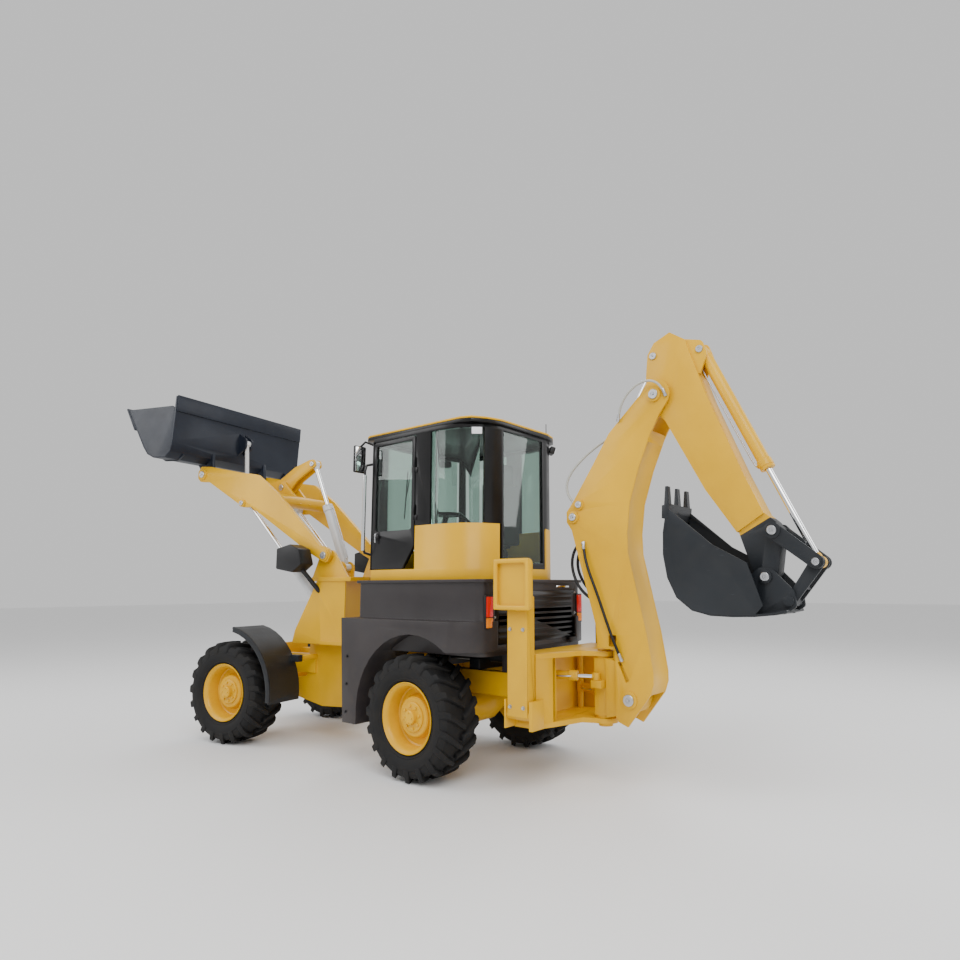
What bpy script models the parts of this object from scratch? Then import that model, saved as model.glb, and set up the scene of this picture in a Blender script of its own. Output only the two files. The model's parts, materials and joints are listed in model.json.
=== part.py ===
"""Articulated backhoe loader with four equal wheels, cab, raised loader bucket and folded backhoe.

Metres, X forward, Y left, Z up. Everything is laid out straight, with the rear axle over x = 0 and the
ground at z = 0. The front half is then turned about the centre pivot, and the whole is centred on its base.
"""
import math

import bmesh
import bpy
from mathutils import Matrix, Vector

# --- driving dimensions -------------------------------------------------------------------------------
WHEELBASE = 2.79
PIVOT_X = 1.53                 # centre pivot, ahead of the rear axle
TRACK = 1.54                   # between the middles of the tyres
STEERED = math.radians(11)     # front half turned left as parked
TYRE_RADIUS = 0.53
TYRE_WIDTH = 0.40
RIM_RADIUS = 0.30
RIM_WIDTH = 0.355
GAP = 0.0004                   # between faces that touch
PIN_GAP = 0.0006               # beside an eye in its ears

RAIL_Y = 0.35                  # middle of a chassis rail
RAIL_WIDTH = 0.10
RAIL_BOTTOM = 0.70
RAIL_TOP = 0.90
LUG_HALF_GAP = 0.215           # from the pivot's middle height to the inner faces of the rear lugs
PIVOT_Z = 0.7825
LUG_PLATE = 0.035
FRONT_END = 2.915              # front face of the chassis

COVER_HALF = 0.76              # grey upper cover, half width
COVER_REAR = -0.70
COVER_FRONT = 0.90
COVER_TOP = 1.70
LEDGE_TOP = 1.35
FENDER_HALF = 0.95
FENDER_REAR = -0.73
FENDER_FLOOR = 1.10
FENDER_INNER = 0.50
FENDER_FOOT = 0.40
ARCH_RADIUS = 0.70
SHEET = 0.02                   # wall of a cover or a mudguard

CAB_HALF = 0.70
CAB_BASE = COVER_TOP + GAP
CAB_WALL = 0.04
SILL_TOP = 1.80
QUARTER_TOP = 2.20
RING_BOTTOM = 3.065
RING_TOP = 3.105
ROOF_TOP = 3.16
ROOF_HALF = 0.68
DOOR_REAR = 0.205
DOOR_FRONT = 0.80
DOOR_WALL = 0.035
GLASS = 0.008

ARM_PIVOT = (1.87, 1.98)
ARM_Y = 0.465                  # middle of a lift arm
ARM_PLATE = 0.05
ARM_INNER = ARM_Y - 0.036      # inner end of the arm's pivot boss
BUCKET_PIN = (3.89, 3.03)
BELLCRANK_PIN = (2.98, 2.86)
HORN_PIN = (2.52, 3.12)
CRANK_END = (3.68, 2.79)
BUCKET_LINK_PIN = (3.73, 3.50)
TILT_BASE = (2.00, 1.86)
LIFT_BASE = (1.72, 1.16)
LIFT_EYE = (3.17, 2.63)
LIFT_Y = 0.385
LIFT_EAR = 0.052               # half the width of a lift cylinder's base eye
LOADER_BUCKET_HALF = 0.98

SWING_X = -1.40
SWING_TOP = 1.10               # top plate of the backhoe frame
SWING_BOTTOM = 0.52
BOOM_FOOT = (-1.70, 0.74)
BOOM_BOSS = (-1.20, 2.23)
BOOM_CYLINDER_BASE = (-1.46, 1.20)
BOOM_HALF = 0.14
BOOM_PLATE = 0.02
DIPPER_PIN = (-1.99, 3.18)
DIPPER_EYE = (-1.97, 3.52)
DIPPER_CYLINDER_BASE = (-1.26, 2.335)
DIPPER_HALF = 0.10
BUCKET_CYLINDER_BASE = (-2.36, 3.50)
DIG_PIN = (-2.80, 1.70)
ROCKER_PIN = (-2.86, 2.03)
ROCKER_END = (-3.14, 1.80)
DIG_LINK_PIN = (-2.95, 1.53)
DIG_HALF = 0.22
LINK_HALF = 0.078              # half the width of the bucket link over its plates

LEG_PIN = (0.66, 0.64)         # y and z
LEG_X = -1.03
LEG_TOP = 1.56
PAD_PIN_Z = 1.66

# --- scene and colours --------------------------------------------------------------------------------
for leftover in list(bpy.data.objects):
    bpy.data.objects.remove(leftover, do_unlink=True)


def new_collection(name):
    made = bpy.data.collections.new(name)
    bpy.context.scene.collection.children.link(made)
    return made


PARTS = new_collection("backhoe_loader")
HELPERS = new_collection("cutters_and_pieces")

COLOURS = {
    "yellow": ((0.87, 0.50, 0.02), 0.40, 0.0),
    "grey": ((0.06, 0.055, 0.06), 0.50, 0.0),
    "black": ((0.012, 0.012, 0.014), 0.45, 0.0),
    "bucket": ((0.012, 0.015, 0.024), 0.45, 0.0),
    "dark": ((0.025, 0.028, 0.032), 0.50, 0.0),
    "tyre": ((0.015, 0.015, 0.016), 0.85, 0.0),
    "steel": ((0.45, 0.45, 0.47), 0.35, 1.0),
    "chrome": ((0.80, 0.80, 0.82), 0.12, 1.0),
    "glass": ((0.30, 0.40, 0.36), 0.05, 0.0),
    "fabric": ((0.02, 0.02, 0.022), 0.80, 0.0),
}


def material(colour):
    if colour in bpy.data.materials:
        return bpy.data.materials[colour]
    rgb, roughness, metallic = COLOURS[colour]
    made = bpy.data.materials.new(colour)
    made.use_nodes = True
    shader = made.node_tree.nodes["Principled BSDF"]
    shader.inputs["Base Color"].default_value = (*rgb, 1)
    shader.inputs["Roughness"].default_value = roughness
    shader.inputs["Metallic"].default_value = metallic
    return made


# --- bodies: one empty on each joint's axis -----------------------------------------------------------
PLACES = {}


def body(name, place=(0, 0, 0), parent=None):
    empty = bpy.data.objects.new("at_" + name, None)
    PARTS.objects.link(empty)
    empty.location = place
    PLACES[name] = (empty, Vector(place))
    if parent:
        carry(empty, parent)
    return name


def carry(obj, parent):
    """Parents an object laid out in world coordinates to a body's empty."""
    empty, place = PLACES[parent]
    obj.parent = empty
    obj.matrix_parent_inverse = Matrix.Translation(-place)


# --- pieces: helpers that later join into one node ----------------------------------------------------
def piece(mesh):
    obj = bpy.data.objects.new("piece", mesh)
    HELPERS.objects.link(obj)
    obj.hide_render = True
    obj.display_type = "WIRE"
    return obj


def finish_mesh(bm):
    bm.normal_update()
    bmesh.ops.recalc_face_normals(bm, faces=bm.faces)
    mesh = bpy.data.meshes.new("piece")
    bm.to_mesh(mesh)
    bm.free()
    return mesh


def block(low, high, rounded=0.0, steps=2):
    """A box from its lowest to its highest corner, with its edges rounded."""
    bm = bmesh.new()
    bmesh.ops.create_cube(bm, size=1)
    low, high = Vector(low), Vector(high)
    size = high - low
    bmesh.ops.transform(bm, verts=bm.verts, matrix=Matrix.Diagonal((*size, 1)))
    bmesh.ops.transform(bm, verts=bm.verts, matrix=Matrix.Translation((low + high) / 2))
    if rounded:
        bmesh.ops.bevel(bm, geom=bm.edges[:], offset=rounded, segments=steps, affect="EDGES", profile=0.5)
    return piece(finish_mesh(bm))


def bar(start, end, radius, sides=12, end_radius=None):
    """A round bar, or a cone, between two points."""
    start, end = Vector(start), Vector(end)
    along = end - start
    bm = bmesh.new()
    bmesh.ops.create_cone(
        bm, cap_ends=True, segments=sides, radius1=radius,
        radius2=radius if end_radius is None else end_radius, depth=along.length,
    )
    turn = Vector((0, 0, 1)).rotation_difference(along).to_matrix().to_4x4()
    bmesh.ops.transform(bm, verts=bm.verts, matrix=Matrix.Translation((start + end) / 2) @ turn)
    return piece(finish_mesh(bm))


def baked(obj):
    """The evaluated shape of a curve or a modified object as a closed mesh piece in world coordinates."""
    HELPERS.objects.link(obj)
    bpy.context.view_layer.update()
    mesh = bpy.data.meshes.new_from_object(obj.evaluated_get(bpy.context.evaluated_depsgraph_get()))
    bm = bmesh.new()
    bm.from_mesh(mesh)
    bm.transform(obj.matrix_world)
    bmesh.ops.remove_doubles(bm, verts=bm.verts, dist=1e-5)
    bpy.data.objects.remove(obj)
    return piece(finish_mesh(bm))


PLANES = {
    "XZ": Matrix(((1, 0, 0), (0, 0, -1), (0, 1, 0))),
    "XY": Matrix.Identity(3),
    "YZ": Matrix(((0, 0, 1), (1, 0, 0), (0, 1, 0))),
}


def corners(outline, steps=4):
    """The outline with each point that carries a radius as its third number rounded by an arc."""
    made = []
    count = len(outline)
    for index, point in enumerate(outline):
        here = Vector(point[:2])
        if len(point) < 3:
            made.append(here)
            continue
        before = (Vector(outline[index - 1][:2]) - here)
        after = (Vector(outline[(index + 1) % count][:2]) - here)
        half = before.angle(after) / 2
        run = min(point[2] / math.tan(half), before.length * 0.49, after.length * 0.49)
        first, last = here + before.normalized() * run, here + after.normalized() * run
        for step in range(steps + 1):
            share = step / steps
            made.append(first.lerp(here, share).lerp(here.lerp(last, share), share))
    return made


def flat(outline, low, high, plane="XZ"):
    """An outline in a plane, as thick as from low to high across it."""
    curve = bpy.data.curves.new("outline", "CURVE")
    curve.dimensions = "2D"
    curve.fill_mode = "BOTH"
    curve.extrude = (high - low) / 2
    points = corners(outline)
    spline = curve.splines.new("POLY")
    spline.points.add(len(points) - 1)
    for point, (u, v) in zip(spline.points, points):
        point.co = (u, v, 0, 1)
    spline.use_cyclic_u = True
    obj = bpy.data.objects.new("outline", curve)
    turn = PLANES[plane]
    normal = turn @ Vector((0, 0, 1))
    middle = (low + high) / 2
    obj.matrix_world = Matrix.Translation(Vector([middle * abs(n) for n in normal])) @ turn.to_4x4()
    return baked(obj)


def offset_line(points, distance):
    """The points moved sideways, to the left of their direction, with mitred corners."""
    points = [Vector(p[:2]) for p in points]
    moved = []
    for index, here in enumerate(points):
        into = (here - points[index - 1]).normalized() if index else None
        out = (points[index + 1] - here).normalized() if index < len(points) - 1 else None
        into, out = into or out, out or into
        normal = Vector((-(into + out).y, (into + out).x)).normalized()
        moved.append(here + normal * (distance / max(normal.dot(Vector((-out.y, out.x))), 0.3)))
    return moved


def band(points, thickness, low, high, plane="XY"):
    """A bent strip along a line: thickness lies to the right of its direction."""
    return flat(list(points) + list(reversed(offset_line(points, -thickness))), low, high, plane)


def turned(profile, place, axis="Y", steps=24, flip=False):
    """A profile of (radius, distance along the axis) turned round it; flip turns it to face the other way."""
    bm = bmesh.new()
    points = [bm.verts.new((radius, 0, -along if flip else along)) for radius, along in profile]
    for first, second in zip(points, points[1:] + points[:1]):
        if profile[points.index(first)][0] or profile[points.index(second)][0]:
            bm.edges.new((first, second))
    mesh = bpy.data.meshes.new("profile")
    bm.to_mesh(mesh)
    bm.free()
    obj = bpy.data.objects.new("profile", mesh)
    screw = obj.modifiers.new("turn", "SCREW")
    screw.steps = screw.render_steps = steps
    screw.use_merge_vertices = True
    screw.merge_threshold = 1e-4
    quarter = {"Y": Matrix.Rotation(-math.pi / 2, 4, "X"), "Z": Matrix.Identity(4),
               "X": Matrix.Rotation(math.pi / 2, 4, "Y")}[axis]
    obj.matrix_world = Matrix.Translation(place) @ quarter
    return baked(obj)


def tube(points, radius, cyclic=False):
    """A round tube along points."""
    curve = bpy.data.curves.new("tube", "CURVE")
    curve.dimensions = "3D"
    curve.bevel_depth = radius
    curve.bevel_resolution = 2
    curve.use_fill_caps = not cyclic
    spline = curve.splines.new("POLY")
    spline.points.add(len(points) - 1)
    for point, place in zip(spline.points, points):
        point.co = (*place, 1)
    spline.use_cyclic_u = cyclic
    return baked(bpy.data.objects.new("tube", curve))


def mirrored(obj):
    """A copy of a piece on the other side of the middle plane."""
    bm = bmesh.new()
    bm.from_mesh(obj.data)
    bm.transform(Matrix.Diagonal((1, -1, 1, 1)))
    return piece(finish_mesh(bm))


def both(*pieces):
    """The pieces and their copies on the other side."""
    return [*pieces, *[mirrored(one) for one in pieces]]


def side(sign, obj):
    """The piece itself on the left, sign 1, or its mirrored copy on the right."""
    return obj if sign > 0 else mirrored(obj)


def node(name, rides, colour, joined, cut=(), added=()):
    """One solid: the first piece, with others joined to it, cutters taken out, and last pieces added."""
    made = joined[0]
    made.name = name
    made.data.name = name
    HELPERS.objects.unlink(made)
    PARTS.objects.link(made)
    made.hide_render = False
    made.display_type = "TEXTURED"
    for operation, others in (("UNION", joined[1:]), ("DIFFERENCE", cut), ("UNION", added)):
        for other in others:
            change = made.modifiers.new(operation.lower(), "BOOLEAN")
            change.operation = operation
            change.solver = "MANIFOLD"
            change.object = other
            carry(other, rides)
    made.data.materials.append(material(colour))
    for polygon in made.data.polygons:
        polygon.use_smooth = True
    made.data.set_sharp_from_angle(angle=math.radians(35))
    carry(made, rides)
    return made


def at(point, y):
    """A point of the side view at a distance to the left."""
    return (point[0], y, point[1])


def between(start, end, share):
    """The point a share of the way between two points of the side view."""
    return tuple(a + (b - a) * share for a, b in zip(start, end))


def along(start, end, distance):
    """The point at a distance from start towards end."""
    return between(start, end, distance / math.dist(start, end))


def eye(point, low, high, radius, sides=12):
    """A cylinder on a cross pin."""
    return bar(at(point, low), at(point, high), radius, sides)


def ear(outline, middle, half_gap, plate):
    """A plate on each side of an eye, from an outline in the side view."""
    inner, outer = half_gap + PIN_GAP, half_gap + PIN_GAP + plate
    return [flat(outline, middle + inner, middle + outer), flat(outline, middle - outer, middle - inner)]


def lug(tip, root, width, end_radius):
    """The outline of a lug with a round tip, from its pin back to its root."""
    tip, root = Vector(tip), Vector(root)
    direction = (root - tip).normalized()
    normal = Vector((-direction.y, direction.x))
    angle = math.atan2(normal.y, normal.x)
    arc = [tip + Vector((math.cos(angle + math.pi * k / 8), math.sin(angle + math.pi * k / 8))) * end_radius
           for k in range(9)]
    return [*arc, root - normal * width / 2, root + normal * width / 2]


# --- bodies and their tree ----------------------------------------------------------------------------
body("rear")
body("front", (PIVOT_X, 0, PIVOT_Z), "rear")
for end, x, carrier in (("rear", 0, "rear"), ("front", WHEELBASE, "front")):
    for sign, hand in ((1, "left"), (-1, "right")):
        body(f"{end}_{hand}_wheel", (x, sign * TRACK / 2, TYRE_RADIUS), carrier)
DOOR_HINGE = (DOOR_REAR - 0.002, CAB_HALF + 0.008)
body("left_door", (*DOOR_HINGE, 2.4), "rear")
body("arms", at(ARM_PIVOT, 0), "front")
body("loader_bucket", at(BUCKET_PIN, 0), "arms")
body("bellcrank", at(BELLCRANK_PIN, 0), "arms")
body("bucket_link", at(CRANK_END, 0), "bellcrank")
body("tilt_barrel", at(TILT_BASE, 0), "front")
body("tilt_rod", at(HORN_PIN, 0), "tilt_barrel")
for sign, hand in ((1, "left"), (-1, "right")):
    body(f"{hand}_lift_barrel", at(LIFT_BASE, sign * LIFT_Y), "front")
    body(f"{hand}_lift_rod", at(LIFT_EYE, sign * LIFT_Y), f"{hand}_lift_barrel")
body("swing_post", (SWING_X, 0, (SWING_TOP + SWING_BOTTOM) / 2), "rear")
body("boom", at(BOOM_FOOT, 0), "swing_post")
body("boom_barrel", at(BOOM_CYLINDER_BASE, 0), "swing_post")
body("boom_rod", at(BOOM_BOSS, 0), "boom_barrel")
body("dipper", at(DIPPER_PIN, 0), "boom")
body("dipper_barrel", at(DIPPER_CYLINDER_BASE, 0), "boom")
body("dipper_rod", at(DIPPER_EYE, 0), "dipper_barrel")
body("dig_bucket", at(DIG_PIN, 0), "dipper")
body("rocker", at(ROCKER_PIN, 0), "dipper")
body("dig_link", at(ROCKER_END, 0), "rocker")
body("bucket_barrel", at(BUCKET_CYLINDER_BASE, 0), "dipper")
body("bucket_rod", at(ROCKER_END, 0), "bucket_barrel")
SWING_CYLINDER_BASE = (-0.99, 0.26)
SWING_CYLINDER_EYE = (SWING_X + 0.01, 0.125)
SWING_CYLINDER_Z = {1: 0.90, -1: 0.74}
SWING_EYE = 0.03               # half the height of a swing cylinder's rod eye
SWING_BASE_EYE = 0.045         # and of its base eye
for sign, hand in ((1, "left"), (-1, "right")):
    height = SWING_CYLINDER_Z[sign]
    body(f"{hand}_swing_barrel", (SWING_CYLINDER_BASE[0], sign * SWING_CYLINDER_BASE[1], height), "rear")
    body(f"{hand}_swing_rod", (SWING_CYLINDER_EYE[0], sign * SWING_CYLINDER_EYE[1], height), f"{hand}_swing_barrel")
    body(f"{hand}_leg", (LEG_X, sign * LEG_PIN[0], LEG_PIN[1]), "rear")
    body(f"{hand}_pad", (LEG_X, sign * (LEG_PIN[0] + 0.03), PAD_PIN_Z), f"{hand}_leg")


# --- wheels -------------------------------------------------------------------------------------------
def tyre_profile():
    half, bead = TYRE_WIDTH / 2, RIM_WIDTH / 2 - 0.0180
    inside = RIM_RADIUS - 0.0195
    wall = [(inside, bead), (RIM_RADIUS + 0.004, bead), (RIM_RADIUS + 0.02, half - 0.012),
            (TYRE_RADIUS - 0.14, half), (TYRE_RADIUS - 0.04, half - 0.006), (TYRE_RADIUS - 0.008, half - 0.04)]
    return wall + [(TYRE_RADIUS, 0)] + [(radius, -y) for radius, y in reversed(wall)]


def rim_profile():
    half, seat = RIM_WIDTH / 2, RIM_RADIUS - 0.02
    flange = half - 0.017
    barrel = seat - 0.022
    return [
        (0, 0.100), (0.150, 0.100), (0.172, 0.085), (0.178, 0.035), (barrel - 0.01, 0.020),
        (barrel, 0.035), (seat - 0.006, half), (RIM_RADIUS, half), (RIM_RADIUS, flange), (seat, flange),
        (seat, -flange), (RIM_RADIUS, -flange), (RIM_RADIUS, -half), (seat - 0.006, -half), (barrel, -0.10),
        (barrel, 0.0), (0.155, -0.01), (0.150, AXLE_FACE - TRACK / 2 + GAP), (0, AXLE_FACE - TRACK / 2 + GAP),
    ]


AXLE_FACE = 0.70
for end, x in (("rear", 0), ("front", WHEELBASE)):
    for sign, hand in ((1, "left"), (-1, "right")):
        centre = (x, sign * TRACK / 2, TYRE_RADIUS)
        rides = f"{end}_{hand}_wheel"
        node(rides.replace("wheel", "tyre"), rides, "tyre", [turned(tyre_profile(), centre, flip=sign < 0)])
        node(rides.replace("wheel", "rim"), rides, "yellow", [turned(rim_profile(), centre, flip=sign < 0)])


def axle(name, rides, x, pad_y):
    """A drive axle: bulb, tapered tubes, wheel flanges, and pads under the rails."""
    half = [(0, -AXLE_FACE), (0.150, -AXLE_FACE), (0.150, -0.62), (0.085, -0.60), (0.085, -0.32), (0.165, -0.12)]
    whole = half + [(radius, -y) for radius, y in reversed(half)]
    centre = (x, 0, TYRE_RADIUS)
    pad = block((x - 0.09, pad_y - 0.05, TYRE_RADIUS), (x + 0.09, pad_y + 0.05, RAIL_BOTTOM - GAP))
    neck = bar((x + (0.16 if x == 0 else -0.16), 0, TYRE_RADIUS), (x, 0, TYRE_RADIUS), 0.07)
    node(name, rides, "yellow", [turned(whole, centre, steps=20), *both(pad), neck])


axle("rear_axle", "rear", 0, RAIL_Y)
axle("front_axle", "front", WHEELBASE, 0.27)


# --- rear frame ---------------------------------------------------------------------------------------
def hinge_plate(root_x, half_root, tip_radius, low, high):
    """A flat lug of the centre pivot, seen from above."""
    arc = [(PIVOT_X + math.copysign(tip_radius * math.sin(a), PIVOT_X - root_x), tip_radius * math.cos(a))
           for a in [math.pi * k / 10 for k in range(11)]]
    return flat([(root_x, half_root), *arc, (root_x, -half_root)], low, high, "XY")


rail_inner, rail_outer = RAIL_Y - RAIL_WIDTH / 2, RAIL_Y + RAIL_WIDTH / 2
lug_top, lug_bottom = PIVOT_Z + LUG_HALF_GAP, PIVOT_Z - LUG_HALF_GAP
node("rear_frame", "rear", "yellow", [
    block((1.06, -0.42, 0.50), (1.10, 0.42, 1.06)),
    *both(block((-0.88, rail_inner, RAIL_BOTTOM), (1.08, rail_outer, RAIL_TOP))),
    hinge_plate(1.08, 0.26, 0.10, lug_top, lug_top + LUG_PLATE),
    hinge_plate(1.08, 0.26, 0.10, lug_bottom - LUG_PLATE, lug_bottom),
    bar((PIVOT_X, 0, lug_top + 0.01), (PIVOT_X, 0, lug_top + 0.07), 0.05),
    bar((PIVOT_X, 0, lug_bottom - 0.07), (PIVOT_X, 0, lug_bottom - 0.01), 0.05),
    block((-0.90, -0.58, 0.54), (-0.86, 0.58, 1.04)),
    block((-0.46, -0.34, 0.73), (-0.40, 0.34, 0.87)),
    block((0.50, -0.34, 0.73), (0.56, 0.34, 0.87)),
    *both(flat([(-0.87, 0.56), (-0.60, 0.72), (-0.60, 0.84), (-0.87, 0.70)], 0.325, 0.365)),
])

node("engine_block", "rear", "dark", [
    block((-0.52, -0.26, 0.96), (0.36, 0.26, 1.58), 0.03),
    block((-0.34, -0.39, RAIL_TOP + GAP), (-0.22, 0.39, 1.00)),
    block((0.14, -0.39, RAIL_TOP + GAP), (0.26, 0.39, 1.00)),
])


# --- grey cover ---------------------------------------------------------------------------------------
def arch_line(radius, rear_z, front_z):
    """Points of the wheel arch from its rear end at one height, over the top, to its front end at another."""
    centre_x, centre_z = -0.04, TYRE_RADIUS
    first = math.pi - math.asin((rear_z - centre_z) / radius)
    last = math.asin((front_z - centre_z) / radius)
    steps = 14
    return [(centre_x + radius * math.cos(first + (last - first) * k / steps),
             centre_z + radius * math.sin(first + (last - first) * k / steps)) for k in range(steps + 1)]


def cover_outline(inset):
    """The upper cover seen from above."""
    rear, front, half = COVER_REAR + inset, COVER_FRONT - inset, COVER_HALF - inset
    return [(rear, half, 0.11), (front, half, 0.05), (front, -half, 0.05), (rear, -half, 0.11)]


def fender_outline(inset, rear_x):
    """The left fender seen from the side, from where its rear corner begins: the hollow has an open foot."""
    floor = FENDER_FLOOR + inset
    foot = FENDER_FOOT - inset * 3
    return [(rear_x, LEDGE_TOP - inset), (rear_x, floor), *arch_line(ARCH_RADIUS + inset, floor, 0.46),
            (0.66 + inset, foot), (0.85 - inset, foot), (COVER_FRONT + 0.008 - inset, LEDGE_TOP - inset)]


def fender_corner(inset):
    """The left fender's rounded rear corner seen from above."""
    rear, side_y = FENDER_REAR + inset, FENDER_HALF - inset
    inner = FENDER_INNER - inset
    return [(rear, inner), (rear, 0.62), (rear + 0.03, 0.74), (rear + 0.09, 0.84), (rear + 0.17, side_y - 0.03),
            (rear + 0.25, side_y), (-0.46, side_y), (-0.46, inner)]


GRILLE = ((-0.60, 1.15), (0.60, 1.60))
node("body_cover", "rear", "grey", [
    flat(cover_outline(0), 1.06, COVER_TOP - 0.01, "XY"),
    flat(cover_outline(-0.025), COVER_TOP - 0.028, COVER_TOP, "XY"),
    *both(flat(fender_outline(0, -0.47), FENDER_INNER, FENDER_HALF),
          flat(fender_corner(0), FENDER_FLOOR, LEDGE_TOP, "XY")),
], [
    flat(cover_outline(SHEET), LEDGE_TOP - SHEET, COVER_TOP - SHEET, "XY"),
    block((COVER_REAR + SHEET, -FENDER_INNER, 0.90), (COVER_FRONT - SHEET, FENDER_INNER, LEDGE_TOP)),
    *both(flat(fender_outline(SHEET, -0.49), FENDER_INNER - SHEET, FENDER_HALF - SHEET),
          flat(fender_corner(SHEET), FENDER_FLOOR + SHEET, LEDGE_TOP - SHEET, "XY")),
    block((FENDER_REAR - 0.05, *GRILLE[0]), (COVER_REAR + 0.05, *GRILLE[1])),
], both(block((0.70, RAIL_Y - 0.04, RAIL_TOP + GAP), (0.76, 0.51, 0.98)),
        block((0.69, 0.49, 0.90), (0.78, 0.94, 0.98)),
        block((-0.66, RAIL_Y - 0.04, RAIL_TOP + GAP), (-0.60, RAIL_Y + 0.04, 1.13)),
        block((-0.69, RAIL_Y - 0.04, 1.105), (-0.59, 0.56, 1.13))))

slats = [block((COVER_REAR - 0.012, -0.56, z), (COVER_REAR + 0.002, 0.56, z + 0.018))
         for z in [1.19 + 0.05 * k for k in range(8)]]
node("rear_grille", "rear", "black", [
    block((COVER_REAR - 0.004, GRILLE[0][0] + GAP, GRILLE[0][1] + GAP),
          (COVER_REAR + 0.016, GRILLE[1][0] - GAP, GRILLE[1][1] - GAP)), *slats])

# --- cab ----------------------------------------------------------------------------------------------
LEFT_CORNER = [(-0.10, CAB_HALF), (-0.34, 0.655), (-0.48, 0.53), (-0.55, 0.36)]
FRONT_LINE = [(0.86, 0.60), (0.93, 0.32), (0.95, 0.0)]
half_plan = [FRONT_LINE[2], FRONT_LINE[1], FRONT_LINE[0], (DOOR_FRONT, CAB_HALF), *LEFT_CORNER]
plan = half_plan + [(x, -y) for x, y in reversed(half_plan[1:])]


def ring(inset, thickness, low, high):
    """The cab's whole outline as a wall."""
    outer = inset_plan(inset)
    inner = inset_plan(inset + thickness)
    return flat(outer, low, high, "XY"), flat(inner, low - 0.1, high + 0.1, "XY")


def inset_plan(distance):
    """The cab's outline moved inwards."""
    looped = offset_line([plan[-1], *plan, plan[0]], distance)
    return looped[1:-1]


def cab_strip(points, inset, thickness, low, high):
    """A wall along part of the outline, given in the outline's own direction."""
    return band(list(reversed([tuple(p) for p in offset_line(points, inset)])), thickness, low, high, "XY")


quarter_line = [(DOOR_REAR - 0.012, CAB_HALF), *LEFT_CORNER]
sill, sill_hollow = ring(0.0, CAB_WALL, CAB_BASE, SILL_TOP)
front_line = [(0.868, -0.56), (FRONT_LINE[1][0], -FRONT_LINE[1][1]), FRONT_LINE[2], FRONT_LINE[1], (0.868, 0.56)]
node("cab_body", "rear", "yellow", [sill], [sill_hollow], [
    *both(cab_strip(quarter_line, 0.0005, CAB_WALL, SILL_TOP - 0.02, QUARTER_TOP)),
    cab_strip(list(reversed(front_line)), 0.0005, CAB_WALL, SILL_TOP - 0.02, 2.02)])

node("cab_floor", "rear", "black", [
    flat([(0.80, -0.60), (0.80, 0.60), (-0.10, 0.60), (-0.46, 0.34), (-0.46, -0.34), (-0.10, -0.60)],
         CAB_BASE, CAB_BASE + 0.04, "XY"),
    block((0.52, -0.13, 1.73), (0.70, 0.13, 2.16), 0.03),
    bar((0.58, 0, 2.10), (0.47, 0, 2.36), 0.03),
    turned([(0.165, -0.012), (0.189, 0), (0.165, 0.012)], (0.46, 0, 2.38), "Z", 20),
    block((0.44, -0.17, 2.368), (0.48, 0.17, 2.384)),
    block((0.30, -0.02, 2.368), (0.62, 0.02, 2.384)),
    block((-0.20, -0.20, 1.73), (0.18, 0.20, 1.99), 0.02),
])
node("seat", "rear", "fabric", [
    block((-0.22, -0.24, 1.99 + GAP), (0.27, 0.24, 2.11), 0.04),
    block((-0.34, -0.23, 2.03), (-0.20, 0.23, 2.62), 0.045),
    block((-0.33, -0.13, 2.58), (-0.23, 0.13, 2.82), 0.035),
])

ring_outer, ring_hollow = ring(0.0, 0.05, RING_BOTTOM, RING_TOP)
post_low, post_high = SILL_TOP + GAP, RING_BOTTOM + 0.01
HINGE_BOTTOMS = (2.30, 2.75)
HINGE_KNUCKLE = 0.10
hinge_leaves = [block((DOOR_REAR - 0.04, CAB_HALF - 0.01, z - 0.05), (DOOR_HINGE[0], DOOR_HINGE[1] - 0.002, z - PIN_GAP))
                for z in HINGE_BOTTOMS]
hinge_stubs = [bar((*DOOR_HINGE, z - 0.05), (*DOOR_HINGE, z - PIN_GAP), 0.007) for z in HINGE_BOTTOMS]
side_posts = both(
    flat([(0.80, 0.655), (0.815, CAB_HALF - 0.002), (0.865, 0.61), (0.83, 0.585)], post_low, post_high, "XY"),
    block((0.0, 0.655, QUARTER_TOP + GAP), (DOOR_REAR - 0.012, 0.698, post_high)),
    flat([(-0.55, 0.325), (-0.549, 0.36), (-0.492, 0.505), (-0.457, 0.485), (-0.505, 0.36), (-0.505, 0.325)],
         QUARTER_TOP + GAP, post_high, "XY"),
    block((-0.55, 0.305, post_low), (-0.505, 0.333, post_high)),
)
rear_bar = block((-0.55, -0.32, post_low), (-0.51, 0.32, 1.86))
right_panel = [
    block((DOOR_REAR - 0.03, -0.698, QUARTER_TOP + GAP), (0.83, -0.66, 2.24)),
    block((DOOR_REAR - 0.005, -0.698, post_low), (0.83, -0.66, 2.22)),
]


handrail = [(0.84, 0.665, 2.86), (0.86, 0.735, 2.84), (0.86, 0.755, 2.78), (0.86, 0.755, 2.02), (0.86, 0.735, 1.97),
            (0.84, 0.665, 1.95)]
mirror_arm = [(0.84, 0.65, 3.05), (0.885, 0.74, 3.08), (0.90, 0.79, 3.02)]
mirror_head = block((0.885, 0.725, 2.76), (0.915, 0.865, 3.03), 0.012)
node("cab_frame", "rear", "black", [ring_outer], [ring_hollow], [
    *side_posts, rear_bar, *right_panel, *hinge_leaves, *hinge_stubs, *both(tube(handrail, 0.013), tube(mirror_arm, 0.011), mirror_head)])

roof_half = [(1.00, 0.54), (0.96, 0.65), (0.90, ROOF_HALF), (-0.34, ROOF_HALF), (-0.45, 0.64), (-0.53, 0.52),
             (-0.58, 0.36)]
node("cab_roof", "rear", "yellow", [
    flat([(x, y) for x, y in roof_half] + [(x, -y) for x, y in reversed(roof_half)], RING_TOP + GAP, ROOF_TOP, "XY"),
])

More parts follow.
